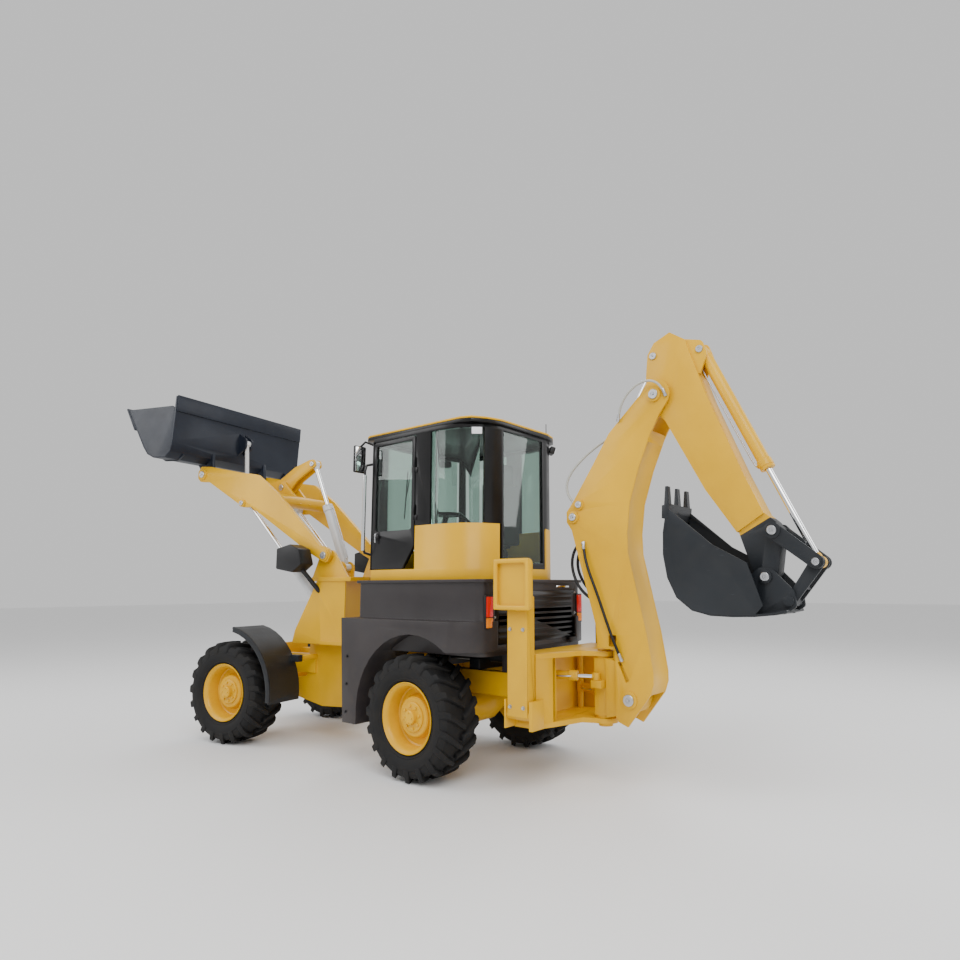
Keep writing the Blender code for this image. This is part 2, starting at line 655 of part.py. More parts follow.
pane = GLASS
node("windscreen", "rear", "glass", [cab_strip(
    [(0.858, 0.575), (0.915, 0.32), (0.935, 0.0), (0.915, -0.32), (0.858, -0.575)], 0.0, pane,
    2.02 + GAP, RING_BOTTOM - GAP)])
node("rear_window", "rear", "glass", [block((-0.536, -0.305 + GAP, 1.86 + GAP),
                                            (-0.536 + pane, 0.305 - GAP, RING_BOTTOM - GAP))])
for sign, hand in ((1, "left"), (-1, "right")):
    line = [(-0.001 - GAP, CAB_HALF - 0.014), (-0.10, CAB_HALF - 0.014), (-0.335, 0.641), (-0.455, 0.532)]
    node(f"{hand}_corner_window", "rear", "glass",
         [side(sign, cab_strip(line, 0.0, pane, QUARTER_TOP + GAP, RING_BOTTOM - GAP))])
node("right_window", "rear", "glass", [block((DOOR_REAR - 0.012 + GAP, -0.690, 2.24 + GAP),
                                             (0.80 - GAP, -0.682, RING_BOTTOM - GAP))])

# --- left door ----------------------------------------------------------------------------------------
door_low, door_high = SILL_TOP + 0.006, RING_BOTTOM - 0.006
door_frame = 0.04
door_inner, door_outer = CAB_HALF - DOOR_WALL, CAB_HALF
door_rear, door_front = DOOR_REAR, 0.792
door_outline = [(door_rear, door_high, 0.03), (door_front, door_high, 0.03), (door_front, door_low, 0.02),
                (door_rear + 0.15, door_low, 0.03), (door_rear, 2.02, 0.03)]
window_outline = [(door_rear + door_frame, door_high - door_frame, 0.03), (door_front - door_frame, door_high - door_frame, 0.03),
                  (door_front - door_frame, 2.17, 0.03), (door_rear + door_frame, 2.17, 0.03)]
door_window = flat(window_outline, door_inner - 0.1, door_outer + 0.1)
hinge_x, hinge_y = DOOR_HINGE
node("left_door", "left_door", "black", [
    flat(door_outline, door_inner, door_outer),
    *[bar((hinge_x, hinge_y, z), (hinge_x, hinge_y, z + HINGE_KNUCKLE), 0.010) for z in HINGE_BOTTOMS],
    block((door_front - 0.12, door_outer - 0.01, 2.10), (door_front - 0.04, door_outer + 0.03, 2.135), 0.008),
], [door_window])
glass_outline = [(door_rear + door_frame + GAP, door_high - door_frame - GAP, 0.03),
                 (door_front - door_frame - GAP, door_high - door_frame - GAP, 0.03),
                 (door_front - door_frame - GAP, 2.17 + GAP, 0.03), (door_rear + door_frame + GAP, 2.17 + GAP, 0.03)]
node("left_door_glass", "left_door", "glass", [flat(glass_outline, CAB_HALF - 0.022, CAB_HALF - 0.014)])

# --- front half ---------------------------------------------------------------------------------------
front_lug_top = lug_top - GAP - LUG_PLATE
lamp_outline = [(2.33, 2.05), (2.15, 2.09), (2.03, 2.04), (1.98, 1.88), (2.10, 1.80), (2.33, 1.84)]
lift_inner = (LIFT_Y - LIFT_EAR - PIN_GAP - 0.026, LIFT_Y - LIFT_EAR - PIN_GAP)
lift_outer = (LIFT_Y + LIFT_EAR + PIN_GAP, LIFT_Y + LIFT_EAR + PIN_GAP + 0.026)
node("front_frame", "front", "yellow", [
    flat([(1.72, 0.36), (2.00, 0.35), (2.50, 0.46), (2.52, 0.62), (2.24, 0.66), (2.20, 1.045), (1.72, 1.045)],
         -0.30, 0.30),
    hinge_plate(1.74, 0.26, 0.10, front_lug_top, lug_top - GAP),
    hinge_plate(1.74, 0.26, 0.10, lug_bottom + GAP, lug_bottom + GAP + LUG_PLATE),
    block((1.74, -0.305, 1.0), (2.12, 0.305, 1.71)),
    block((1.50, -0.48, 1.70), (1.95, 0.48, 1.745)),
    block((1.90, -0.425, 1.70), (2.10, 0.425, 1.745)),
    block((1.60, -lift_outer[1] + 0.002, 1.055), (1.64, lift_outer[1] - 0.002, 1.72)),
    *both(
        block((2.1, 0.22, RAIL_BOTTOM), (FRONT_END - 0.03, 0.32, RAIL_TOP)),
        flat([(1.58, 1.73), (2.09, 1.73), (1.96, 2.04, 0.08), (1.80, 2.04, 0.08)], ARM_INNER - 0.03, ARM_INNER),
        flat([(1.61, 1.04), (1.61, 1.26), (1.80, 1.26), (1.90, 1.25), (1.90, 1.04)], *lift_inner),
        flat([(1.585, 1.03), (2.32, 1.03), (2.28, 1.17), (2.04, 1.60), (1.98, 1.72), (1.585, 1.72)], *lift_outer),
        block((1.59, 0.29, 1.025), (1.90, lift_outer[1] + 0.02, 1.065)),
        tube([(1.90, 0.30, 1.50), (1.96, 0.46, 1.60), (2.08, 0.60, 1.83)], 0.022),
        flat(lamp_outline, 0.54, 0.72),
        bar((2.12, 0.28, 0.88), (2.12, 0.535, 0.88), 0.03)),
    block((FRONT_END - 0.06, -0.325, 0.70), (FRONT_END, 0.325, 0.98)),
    *ear(lug(TILT_BASE, (2.01, 1.725), 0.16, 0.07), 0, 0.058, 0.022),
])

GUARD_RADIUS = 0.70
GUARD_Y = (0.555, 0.965)


def guard_line(radius, short=0):
    """Points of a mudguard round the front wheel, from its top rearwards, left short at both ends."""
    first, last, steps = math.radians(100 + short), math.radians(186 - short), 10
    return [(WHEELBASE + radius * math.cos(first + (last - first) * k / steps),
             TYRE_RADIUS + radius * math.sin(first + (last - first) * k / steps)) for k in range(steps + 1)]


for sign, hand in ((1, "left"), (-1, "right")):
    guard = flat(guard_line(GUARD_RADIUS) + list(reversed(guard_line(GUARD_RADIUS - SHEET))), *GUARD_Y)
    lip = flat(guard_line(GUARD_RADIUS + 0.005, 1) + list(reversed(guard_line(GUARD_RADIUS - 0.05, 1))), 0.944, 0.968)
    stay = block((2.08, 0.535 + GAP, 0.845), (2.20, 0.60, 0.915))
    node(f"{hand}_mudguard", "front", "dark", [side(sign, guard), side(sign, lip), side(sign, stay)])

# --- loader -------------------------------------------------------------------------------------------
arm_outline = [(3.99, 3.07, 0.03), (3.94, 3.135, 0.03), (3.77, 3.12, 0.05), (3.21, 3.00, 0.05), (2.96, 2.96, 0.12), (2.60, 2.70),
               (1.94, 2.09), (1.83, 2.06, 0.05), (1.78, 1.98, 0.05), (1.84, 1.89, 0.05), (2.10, 2.02), (3.03, 2.58),
               (3.16, 2.58, 0.05), (3.30, 2.66, 0.05), (3.78, 2.93, 0.06), (3.94, 2.945), (3.99, 2.99, 0.03)]
arm = flat(arm_outline, ARM_Y - ARM_PLATE / 2, ARM_Y + ARM_PLATE / 2)
CROSS_TUBE = (2.74, 2.66)
node("lift_arms", "arms", "yellow", [
    arm, mirrored(arm),
    bar(at(CROSS_TUBE, -ARM_Y), at(CROSS_TUBE, ARM_Y), 0.075),
    *ear([(2.66, 2.64), (2.80, 2.61), (3.05, 2.83, 0.05), (3.03, 2.93, 0.05), (2.93, 2.93, 0.05)], 0, 0.062, 0.03),
    *both(eye(BUCKET_PIN, ARM_Y - 0.045, ARM_Y + 0.045, 0.062), eye(ARM_PIVOT, ARM_INNER + PIN_GAP, 0.505, 0.062),
          eye(LIFT_EYE, LIFT_Y + 0.0456, ARM_Y + 0.045, 0.045)),
])

crank_outline = [(2.47, 3.09, 0.03), (2.49, 3.18, 0.04), (2.58, 3.17), (2.80, 3.10), (3.04, 2.96, 0.05),
                 (3.70, 2.85, 0.04), (3.73, 2.73, 0.04), (3.62, 2.73), (3.02, 2.76, 0.05), (2.88, 2.80, 0.04),
                 (2.76, 2.93), (2.55, 3.05)]
node("bellcrank", "bellcrank", "yellow", [
    eye(BELLCRANK_PIN, -0.0615, 0.0615, 0.062),
    *ear(crank_outline, 0, 0.032, 0.026),
])
node("bucket_link", "bucket_link", "steel", [
    bar(at(CRANK_END, 0), at(BUCKET_LINK_PIN, 0), 0.026),
    eye(CRANK_END, -0.032, 0.032, 0.042),
    eye(BUCKET_LINK_PIN, -0.032, 0.032, 0.042),
])


TIP = (4.70, 3.83)
BACK_TOP = (3.79, 3.90)
shell_line = [TIP, (4.36, 3.33), (4.28, 3.24), (4.16, 3.185), (3.95, 3.17), (3.86, 3.24), (3.83, 3.36), BACK_TOP]
cheek_line = [tuple(p) for p in offset_line(shell_line, -0.011)]
hanger = [(3.84, 3.30), (4.10, 3.19), (3.98, 3.02), (3.94, 2.975, 0.03), (3.84, 2.975, 0.03), (3.82, 3.08)]
hanger_plates = [flat(hanger, ARM_Y - 0.045 - PIN_GAP - 0.04, ARM_Y - 0.045 - PIN_GAP)]
link_ears = ear([(3.825, 3.64), (3.84, 3.34), (3.69, 3.43, 0.05), (3.68, 3.55, 0.05)], 0, 0.032, 0.024)
node("loader_bucket", "loader_bucket", "bucket", [
    flat(shell_line + list(reversed(offset_line(shell_line, -0.022))), -LOADER_BUCKET_HALF, LOADER_BUCKET_HALF),
    *both(flat(cheek_line[:-1] + [(3.815, 3.74), (3.87, 3.79)], LOADER_BUCKET_HALF - 0.022, LOADER_BUCKET_HALF - 0.001),
          *hanger_plates),
    flat([(4.725, 3.86), (4.74, 3.85), (4.56, 3.565), (4.53, 3.585)], -LOADER_BUCKET_HALF - 0.002,
         LOADER_BUCKET_HALF + 0.002),
    flat([(3.80, 3.915), (3.775, 3.91), (3.785, 3.72), (3.83, 3.71)], -LOADER_BUCKET_HALF + 0.01,
         LOADER_BUCKET_HALF - 0.01),
    *link_ears,
])


# --- cylinders ----------------------------------------------------------------------------------------
def cylinder(prefix, base, rod_end, y, radius, barrel, rod, base_half, eye_half, colour="yellow"):
    """A barrel from its base pin and a rod to its eye, in the side view: their lengths from their pins."""
    tail = radius * 0.9
    rod_radius = radius * 0.5
    mouth = at(along(base, rod_end, barrel), y)
    reach = math.dist(base, rod_end)
    node(prefix + "_cylinder_barrel", prefix + "_barrel", colour, [
        bar(at(along(base, rod_end, tail * 0.6), y), mouth, radius),
        bar(at(along(base, rod_end, barrel - 0.07), y), at(along(base, rod_end, barrel + 0.006), y), radius + 0.008),
        eye(base, y - base_half, y + base_half, tail),
    ], [bar(at(along(base, rod_end, tail + 0.02), y), at(along(base, rod_end, barrel + 0.05), y),
            rod_radius + PIN_GAP)])
    node(prefix + "_cylinder_rod", prefix + "_rod", "chrome", [
        bar(at(along(base, rod_end, reach - rod), y), at(rod_end, y), rod_radius),
        eye(rod_end, y - eye_half, y + eye_half, tail),
    ])


cylinder("tilt", TILT_BASE, HORN_PIN, 0, 0.052, 0.80, 0.72, 0.058, 0.032, "steel")
for sign, hand in ((1, "left"), (-1, "right")):
    cylinder(f"{hand}_lift", LIFT_BASE, LIFT_EYE, sign * LIFT_Y, 0.046, 1.06, 1.05, LIFT_EAR, 0.045, "steel")

# --- backhoe frame and stabilisers --------------------------------------------------------------------
plate_outline = [(-0.905, 0.60), (-1.12, 0.60), (-1.18, 0.44), (-1.26, 0.15), (-1.36, 0.11)]
nose = [(SWING_X - 0.105 * math.sin(a), 0.105 * math.cos(a)) for a in [math.pi * k / 10 for k in range(11)]]
swing_plate = plate_outline + nose + [(x, -y) for x, y in reversed(plate_outline)]


def swing_pin(sign, height):
    """The pins above and below a swing cylinder's base eye."""
    x, y = SWING_CYLINDER_BASE[0], sign * SWING_CYLINDER_BASE[1]
    clear = SWING_BASE_EYE + PIN_GAP
    return [bar((x, y, SWING_BOTTOM + 0.03), (x, y, height - clear), 0.028),
            bar((x, y, height + clear), (x, y, SWING_TOP - 0.03), 0.028)]


swing_pins = [pin for sign, height in SWING_CYLINDER_Z.items() for pin in swing_pin(sign, height)]
node("backhoe_frame", "rear", "yellow", [
    flat(swing_plate, SWING_TOP - 0.04, SWING_TOP, "XY"),
    flat(swing_plate, SWING_BOTTOM, SWING_BOTTOM + 0.04, "XY"),
    block((-0.94, -0.60, SWING_BOTTOM + 0.01), (-0.90 - GAP, 0.60, SWING_TOP - 0.01)),
    *both(flat([(-0.92, 0.575), (-1.10, 0.575), (-1.155, 0.44), (-1.175, 0.445), (-1.115, 0.597), (-0.92, 0.597)],
               SWING_BOTTOM + 0.02, SWING_TOP - 0.02, "XY")),
    *both(block((-1.12, 0.315, SWING_BOTTOM + 0.02), (-0.93, 0.335, SWING_TOP - 0.02))),
    *swing_pins,
    bar((SWING_X, 0, SWING_TOP - 0.01), (SWING_X, 0, SWING_TOP + 0.015), 0.06),
    bar((SWING_X, 0, SWING_BOTTOM - 0.03), (SWING_X, 0, SWING_BOTTOM + 0.01), 0.06),
    *both(block((LEG_X - 0.145, 0.575, 0.53), (LEG_X - 0.115, 0.73, 0.75)),
          block((LEG_X + 0.115, 0.575, 0.53), (LEG_X + 0.13, 0.73, 0.75)),
          block((LEG_X - 0.14, 0.567, 0.53), (LEG_X + 0.13, 0.592, 0.75))),
])
for sign, hand in ((1, "left"), (-1, "right")):
    leg_y, leg_z = LEG_PIN
    node(f"{hand}_stabilizer_leg", f"{hand}_leg", "yellow", [
        side(sign, block((LEG_X - 0.10, 0.625, leg_z - 0.02), (LEG_X + 0.10, 0.735, LEG_TOP), 0.008, 1)),
        bar((LEG_X - 0.115 + PIN_GAP, sign * (leg_y + 0.02), leg_z), (LEG_X + 0.115 - PIN_GAP, sign * (leg_y + 0.02), leg_z), 0.045),
        side(sign, block((LEG_X - 0.06, 0.64, LEG_TOP - 0.05), (LEG_X + 0.06, 0.71, PAD_PIN_Z))),
        bar((LEG_X - 0.06, sign * (leg_y + 0.03), PAD_PIN_Z), (LEG_X + 0.06, sign * (leg_y + 0.03), PAD_PIN_Z), 0.035),
    ])
    pad_outline = [(LEG_X - 0.18, 1.45, 0.05), (LEG_X + 0.18, 1.45, 0.05), (LEG_X + 0.18, 1.86, 0.05),
                   (LEG_X - 0.18, 1.86, 0.05)]
    dish_outline = [(LEG_X - 0.155, 1.475, 0.04), (LEG_X + 0.155, 1.475, 0.04), (LEG_X + 0.155, 1.835, 0.04),
                    (LEG_X - 0.155, 1.835, 0.04)]
    node(f"{hand}_stabilizer_pad", f"{hand}_pad", "yellow", [
        side(sign, flat(pad_outline, 0.755, 0.80)),
        *[side(sign, block((LEG_X + x, 0.68, PAD_PIN_Z - 0.04), (LEG_X + x + 0.02, 0.765, PAD_PIN_Z + 0.04)))
          for x in (-0.06 - PIN_GAP - 0.02, 0.06 + PIN_GAP)],
    ], [side(sign, flat(dish_outline, 0.778, 0.85))])

# --- swing post and its cylinders ---------------------------------------------------------------------
post_top, post_bottom = SWING_TOP - 0.04 - PIN_GAP, SWING_BOTTOM + 0.04 + PIN_GAP
node("swing_post", "swing_post", "yellow", [
    bar((SWING_X, 0, post_bottom), (SWING_X, 0, post_top), 0.085, 20),
    flat([(-1.345, post_bottom + 0.02), (-1.60, 0.60), (-1.75, 0.645, 0.05), (-1.79, 0.74, 0.06), (-1.76, 0.84, 0.05),
          (-1.64, 1.00), (-1.53, post_top - 0.01), (-1.345, post_top - 0.01)], -0.085, 0.085),
    flat([(-1.47, post_bottom + 0.015), (-1.60, 0.61), (-1.75, 0.655, 0.05), (-1.78, 0.74, 0.06), (-1.75, 0.83, 0.05),
          (-1.64, 0.99), (-1.53, post_top - 0.015), (-1.47, post_top - 0.015)], -0.112, 0.112),
    eye(BOOM_FOOT, -BOOM_HALF + BOOM_PLATE + PIN_GAP, BOOM_HALF - BOOM_PLATE - PIN_GAP, 0.065),
    *ear([(-1.53, 1.02), (-1.53, 1.135), (-1.46, 1.135, 0.03), (-1.405, 1.16, 0.03), (-1.41, 1.25, 0.03),
          (-1.50, 1.26, 0.03), (-1.60, 1.12), (-1.64, 0.98)], 0, 0.062, 0.022),
    *[side(sign, block((SWING_X - 0.055, 0.07, height - 0.09), (SWING_X + 0.045, 0.16, height - SWING_EYE - PIN_GAP)))
      for sign, height in SWING_CYLINDER_Z.items()],
])

# --- boom ---------------------------------------------------------------------------------------------
front_edge = [(-1.60, 0.56), (-1.575, 0.60), (-1.575, 1.125), (-1.415, 1.13), (-1.40, 1.32), (-1.33, 1.57), (-1.27, 1.78),
              (-1.175, 2.12), (-1.125, 2.19), (-1.125, 2.28), (-1.19, 2.36), (-1.40, 2.67), (-1.56, 2.92),
              (-1.86, 3.20)]
tip_arc = [(DIPPER_PIN[0] + 0.13 * math.cos(a), DIPPER_PIN[1] + 0.13 * math.sin(a))
           for a in [math.radians(60 + 160 * k / 8) for k in range(9)]]
rear_edge = [(-2.03, 3.02), (-1.94, 2.86), (-1.83, 2.60), (-1.74, 2.32), (-1.71, 2.07), (-1.715, 1.90), (-1.77, 1.65),
             (-1.86, 1.26), (-1.91, 0.96), (-1.91, 0.88), (-1.88, 0.79), (-1.68, 0.53)]
boom_outline = front_edge + tip_arc + rear_edge
near = flat(boom_outline, BOOM_HALF - BOOM_PLATE, BOOM_HALF)
slot = flat([(-1.60, 1.03), (-1.63, 1.03), (-1.70, 0.89), (-1.67, 0.87)], BOOM_HALF - 0.05, BOOM_HALF + 0.05)
port = block((-1.59, BOOM_HALF - 0.05, 1.15), (-1.52, BOOM_HALF + 0.05, 1.24))
back_line = [tuple(p) for p in offset_line([(-1.955, 2.89), *rear_edge[2:11]], 0.0015)]
node("boom", "boom", "yellow", [
    near, mirrored(near),
    flat(back_line + list(reversed(offset_line(back_line, 0.02))), -BOOM_HALF + 0.005, BOOM_HALF - 0.005),
    *both(eye(BOOM_BOSS, 0.045 + PIN_GAP, BOOM_HALF + 0.02, 0.052),
          eye(DIPPER_CYLINDER_BASE, 0.056 + PIN_GAP, BOOM_HALF + 0.018, 0.045),
          eye(BOOM_FOOT, BOOM_HALF - 0.01, BOOM_HALF + 0.015, 0.07),
          eye(DIPPER_PIN, BOOM_HALF - 0.01, BOOM_HALF + 0.02, 0.06)),
], both(slot, port))

# --- dipper -------------------------------------------------------------------------------------------
dipper_outline = [(-1.90, 3.34, 0.03), (-1.92, 3.54), (-1.98, 3.63), (-2.12, 3.69), (-2.25, 3.60, 0.02), (-2.295, 3.45),
                  (-2.42, 3.08), (-2.66, 2.48), (-2.80, 2.16), (-2.60, 2.03), (-2.37, 2.37), (-2.06, 2.96),
                  (-1.93, 3.10, 0.03)]
nose_outline = [(-2.60, 2.05), (-2.66, 1.86), (-2.73, 1.66, 0.05), (-2.81, 1.63, 0.05), (-2.87, 1.72), (-2.91, 1.98, 0.05),
                (-2.88, 2.09, 0.05), (-2.79, 2.17)]
dipper_half = BOOM_HALF - BOOM_PLATE - PIN_GAP
base_ears = ear([(-2.20, 3.62), (-2.38, 3.57, 0.04), (-2.42, 3.46, 0.04), (-2.36, 3.30), (-2.24, 3.34)], 0, 0.056, 0.022)
head_slot = flat([(-2.125, 3.80), (-2.125, 3.37), (-1.93, 3.30), (-1.88, 3.28), (-1.80, 3.28),
                  (-1.80, 3.80)], -0.0456, 0.0456)
node("dipper", "dipper", "yellow", [
    flat(dipper_outline, -DIPPER_HALF, DIPPER_HALF),
    eye(DIPPER_PIN, -dipper_half, dipper_half, 0.09, 20),
    *base_ears,
    flat(nose_outline, -0.075, 0.075),
    eye(DIG_PIN, -0.10, 0.10, 0.055),
    eye(ROCKER_PIN, -0.10, 0.10, 0.05),
], [head_slot])

# --- digging bucket and its linkage -------------------------------------------------------------------
bowl_line = [(-2.10, 2.24), (-2.065, 2.05), (-2.06, 1.88), (-2.09, 1.70), (-2.16, 1.55), (-2.28, 1.455), (-2.42, 1.42),
             (-2.58, 1.415), (-2.74, 1.42), (-2.88, 1.435), (-2.96, 1.455)]
dig_rim = [tuple(p) for p in offset_line(bowl_line, -0.009)]
dig_sheet = flat(bowl_line + list(reversed(offset_line(bowl_line, -0.018))), -DIG_HALF, DIG_HALF)
dig_cheek = flat(dig_rim[:9] + [(-2.80, 1.50), (-2.76, 1.62), (-2.70, 1.80), (-2.45, 1.94)],
                 DIG_HALF - 0.02, DIG_HALF - 0.001)
dig_ear = flat([(-2.70, 1.43), (-2.70, 1.72), (-2.76, 1.77, 0.04), (-2.85, 1.75, 0.04), (-2.99, 1.60, 0.04), (-3.00, 1.49, 0.03),
                (-2.92, 1.44)], 0.10 + PIN_GAP, 0.10 + PIN_GAP + 0.022)
lip_bar = flat([(-2.125, 2.27), (-2.065, 2.26), (-2.06, 2.16), (-2.11, 2.15)], -DIG_HALF - 0.001, DIG_HALF + 0.001)
teeth = [flat([(-2.12, 2.20), (-2.07, 2.20), (-2.09, 2.41), (-2.11, 2.41)], y - 0.025, y + 0.025)
         for y in (-0.18, 0.0, 0.18)]
node("digging_bucket", "dig_bucket", "dark", [
    dig_sheet, *both(dig_cheek), *both(dig_ear), lip_bar, *teeth,
    *both(eye(DIG_PIN, 0.102, 0.145, 0.048), eye(DIG_LINK_PIN, 0.102, 0.14, 0.037)),
])

rocker_low = 0.10 + PIN_GAP
node("bucket_rocker", "rocker", "dark", [
    eye(between(ROCKER_PIN, ROCKER_END, 0.55), -(rocker_low + 0.015), rocker_low + 0.015, 0.018),
    *both(flat(lug(ROCKER_END, ROCKER_PIN, 0.11, 0.05), rocker_low, rocker_low + 0.022),
          eye(ROCKER_PIN, rocker_low + 0.001, rocker_low + 0.035, 0.06),
          eye(ROCKER_END, LINK_HALF + PIN_GAP, rocker_low + 0.035, 0.038)),
])
node("bucket_h_link", "dig_link", "dark", [
    eye(DIG_LINK_PIN, -0.10, 0.10, 0.040),
    *both(flat(lug(ROCKER_END, DIG_LINK_PIN, 0.07, 0.048), LINK_HALF - 0.022, LINK_HALF),
          eye(ROCKER_END, 0.030 + PIN_GAP, LINK_HALF - 0.001, 0.041)),
    block((-3.055, -LINK_HALF + 0.01, 1.61), (-3.015, LINK_HALF - 0.01, 1.67)),
])

# --- backhoe cylinders --------------------------------------------------------------------------------
SWING_BARREL = 0.28
SWING_ROD = 0.27
cylinder("boom", BOOM_CYLINDER_BASE, BOOM_BOSS, 0, 0.052, 0.93, 0.94, 0.062, 0.045)
cylinder("dipper", DIPPER_CYLINDER_BASE, DIPPER_EYE, 0, 0.050, 0.74, 0.70, 0.056, 0.045)
cylinder("bucket", BUCKET_CYLINDER_BASE, ROCKER_END, 0, 0.048, 1.10, 0.90, 0.056, 0.030)
for sign, hand in ((1, "left"), (-1, "right")):
    (base_x, base_y), (eye_x, eye_y) = SWING_CYLINDER_BASE, SWING_CYLINDER_EYE
    base = Vector((base_x, sign * base_y, SWING_CYLINDER_Z[sign]))
    end = Vector((eye_x, sign * eye_y, SWING_CYLINDER_Z[sign]))
    way = (end - base).normalized()
    up = Vector((0, 0, 1))
    node(f"{hand}_swing_cylinder_barrel", f"{hand}_swing_barrel", "yellow", [
        bar(base + way * 0.02, base + way * SWING_BARREL, 0.036),
        bar(base - up * SWING_BASE_EYE, base + up * SWING_BASE_EYE, 0.038),
    ], [bar(base + way * 0.045, base + way * (SWING_BARREL + 0.03), 0.018 + PIN_GAP)])
    node(f"{hand}_swing_cylinder_rod", f"{hand}_swing_rod", "chrome", [
        bar(end - way * SWING_ROD, end, 0.018), bar(end - up * SWING_EYE, end + up * SWING_EYE, 0.032)])

# --- front half turned at the pivot, and the whole centred on its base --------------------------------
PLACES["front"][0].rotation_euler.z = STEERED
bpy.context.view_layer.update()
graph = bpy.context.evaluated_depsgraph_get()
spots = [made.matrix_world @ Vector(corner) for made in PARTS.objects if made.type == "MESH"
         for corner in made.evaluated_get(graph).bound_box]
low = Vector([min(spot[axis] for spot in spots) for axis in range(3)])
high = Vector([max(spot[axis] for spot in spots) for axis in range(3)])
PLACES["rear"][0].location = (-(low.x + high.x) / 2, -(low.y + high.y) / 2, -low.z)
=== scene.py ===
"""Looks of the articulated backhoe loader: finishes, tyres, cylinders, pins, hoses, lamps, light and camera."""
import json
import math

import bpy
from mathutils import Matrix, Vector


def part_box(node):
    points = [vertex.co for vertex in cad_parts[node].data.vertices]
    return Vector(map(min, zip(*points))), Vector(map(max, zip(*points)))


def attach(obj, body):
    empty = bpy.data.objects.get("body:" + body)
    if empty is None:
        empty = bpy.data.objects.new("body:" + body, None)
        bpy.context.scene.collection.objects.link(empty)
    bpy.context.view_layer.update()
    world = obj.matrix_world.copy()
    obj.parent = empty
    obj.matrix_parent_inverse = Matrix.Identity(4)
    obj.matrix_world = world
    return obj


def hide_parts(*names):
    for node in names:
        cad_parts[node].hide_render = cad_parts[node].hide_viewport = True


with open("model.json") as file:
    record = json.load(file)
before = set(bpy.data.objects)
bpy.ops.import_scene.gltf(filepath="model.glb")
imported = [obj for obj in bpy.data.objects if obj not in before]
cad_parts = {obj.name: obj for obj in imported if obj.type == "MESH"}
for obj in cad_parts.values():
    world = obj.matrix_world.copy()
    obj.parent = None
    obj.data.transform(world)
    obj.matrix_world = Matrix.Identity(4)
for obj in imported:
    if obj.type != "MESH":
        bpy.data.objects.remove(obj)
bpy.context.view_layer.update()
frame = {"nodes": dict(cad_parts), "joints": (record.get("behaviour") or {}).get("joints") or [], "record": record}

BODY_OF = {node: body for body, nodes in frame["record"]["behaviour"]["bodies"].items() for node in nodes}
SLOT_OF = {part["node"]: part["material_slot"] for part in frame["record"]["subparts"]}
JOINTS = {joint["name"]: joint for joint in frame["joints"]}
STEER = math.atan2(-JOINTS["loader_lift"]["axis"][0], JOINTS["loader_lift"]["axis"][1])
PIVOT = Vector(JOINTS["articulation"]["pos_m"])
REAR_AXLE = Vector(JOINTS["rear_left_wheel_spin"]["pos_m"])
MIDDLE_Y = PIVOT.y                       # middle plane of the rear half


# --- places -------------------------------------------------------------------------------------------
def rear(x, y, z):
    """A point of the rear half: x ahead of the rear axle, y left of the middle, z over the ground."""
    return Vector((REAR_AXLE.x + x, MIDDLE_Y + y, z))


def front(x, y, z):
    """A point of the front half, given as if the machine stood straight."""
    turned_by = Matrix.Rotation(STEER, 3, "Z")
    spot = turned_by @ (rear(x, y, z) - Vector((PIVOT.x, PIVOT.y, 0)))
    return spot + Vector((PIVOT.x, PIVOT.y, 0))


def pin_of(joint):
    return Vector(JOINTS[joint]["pos_m"])


# --- shader writing -----------------------------------------------------------------------------------
class Wire:
    """One value or colour in a shader, so that masks are written as plain sums."""

    def __init__(self, finish, socket):
        self.finish, self.socket = finish, socket

    def maths(self, operation, *others, clamp=False):
        sockets = dict(enumerate((self, *others)))
        return self.finish.node("Math", {"operation": operation, "use_clamp": clamp}, sockets)

    def __add__(self, other):
        return self.maths("ADD", other)

    def __mul__(self, other):
        return self.maths("MULTIPLY", other)

    def __sub__(self, other):
        return self.maths("SUBTRACT", other)

    def __rsub__(self, other):
        return self.finish.node("Math", {"operation": "SUBTRACT"}, {0: other, 1: self})

    def __pow__(self, other):
        return self.maths("POWER", other)

    __radd__, __rmul__ = __add__, __mul__

    def between(self, low, high):
        """0 under low, 1 over high, and a ramp between them."""
        return self.finish.node("MapRange", {"clamp": True},
                                {"Value": self, "From Min": low, "From Max": high})


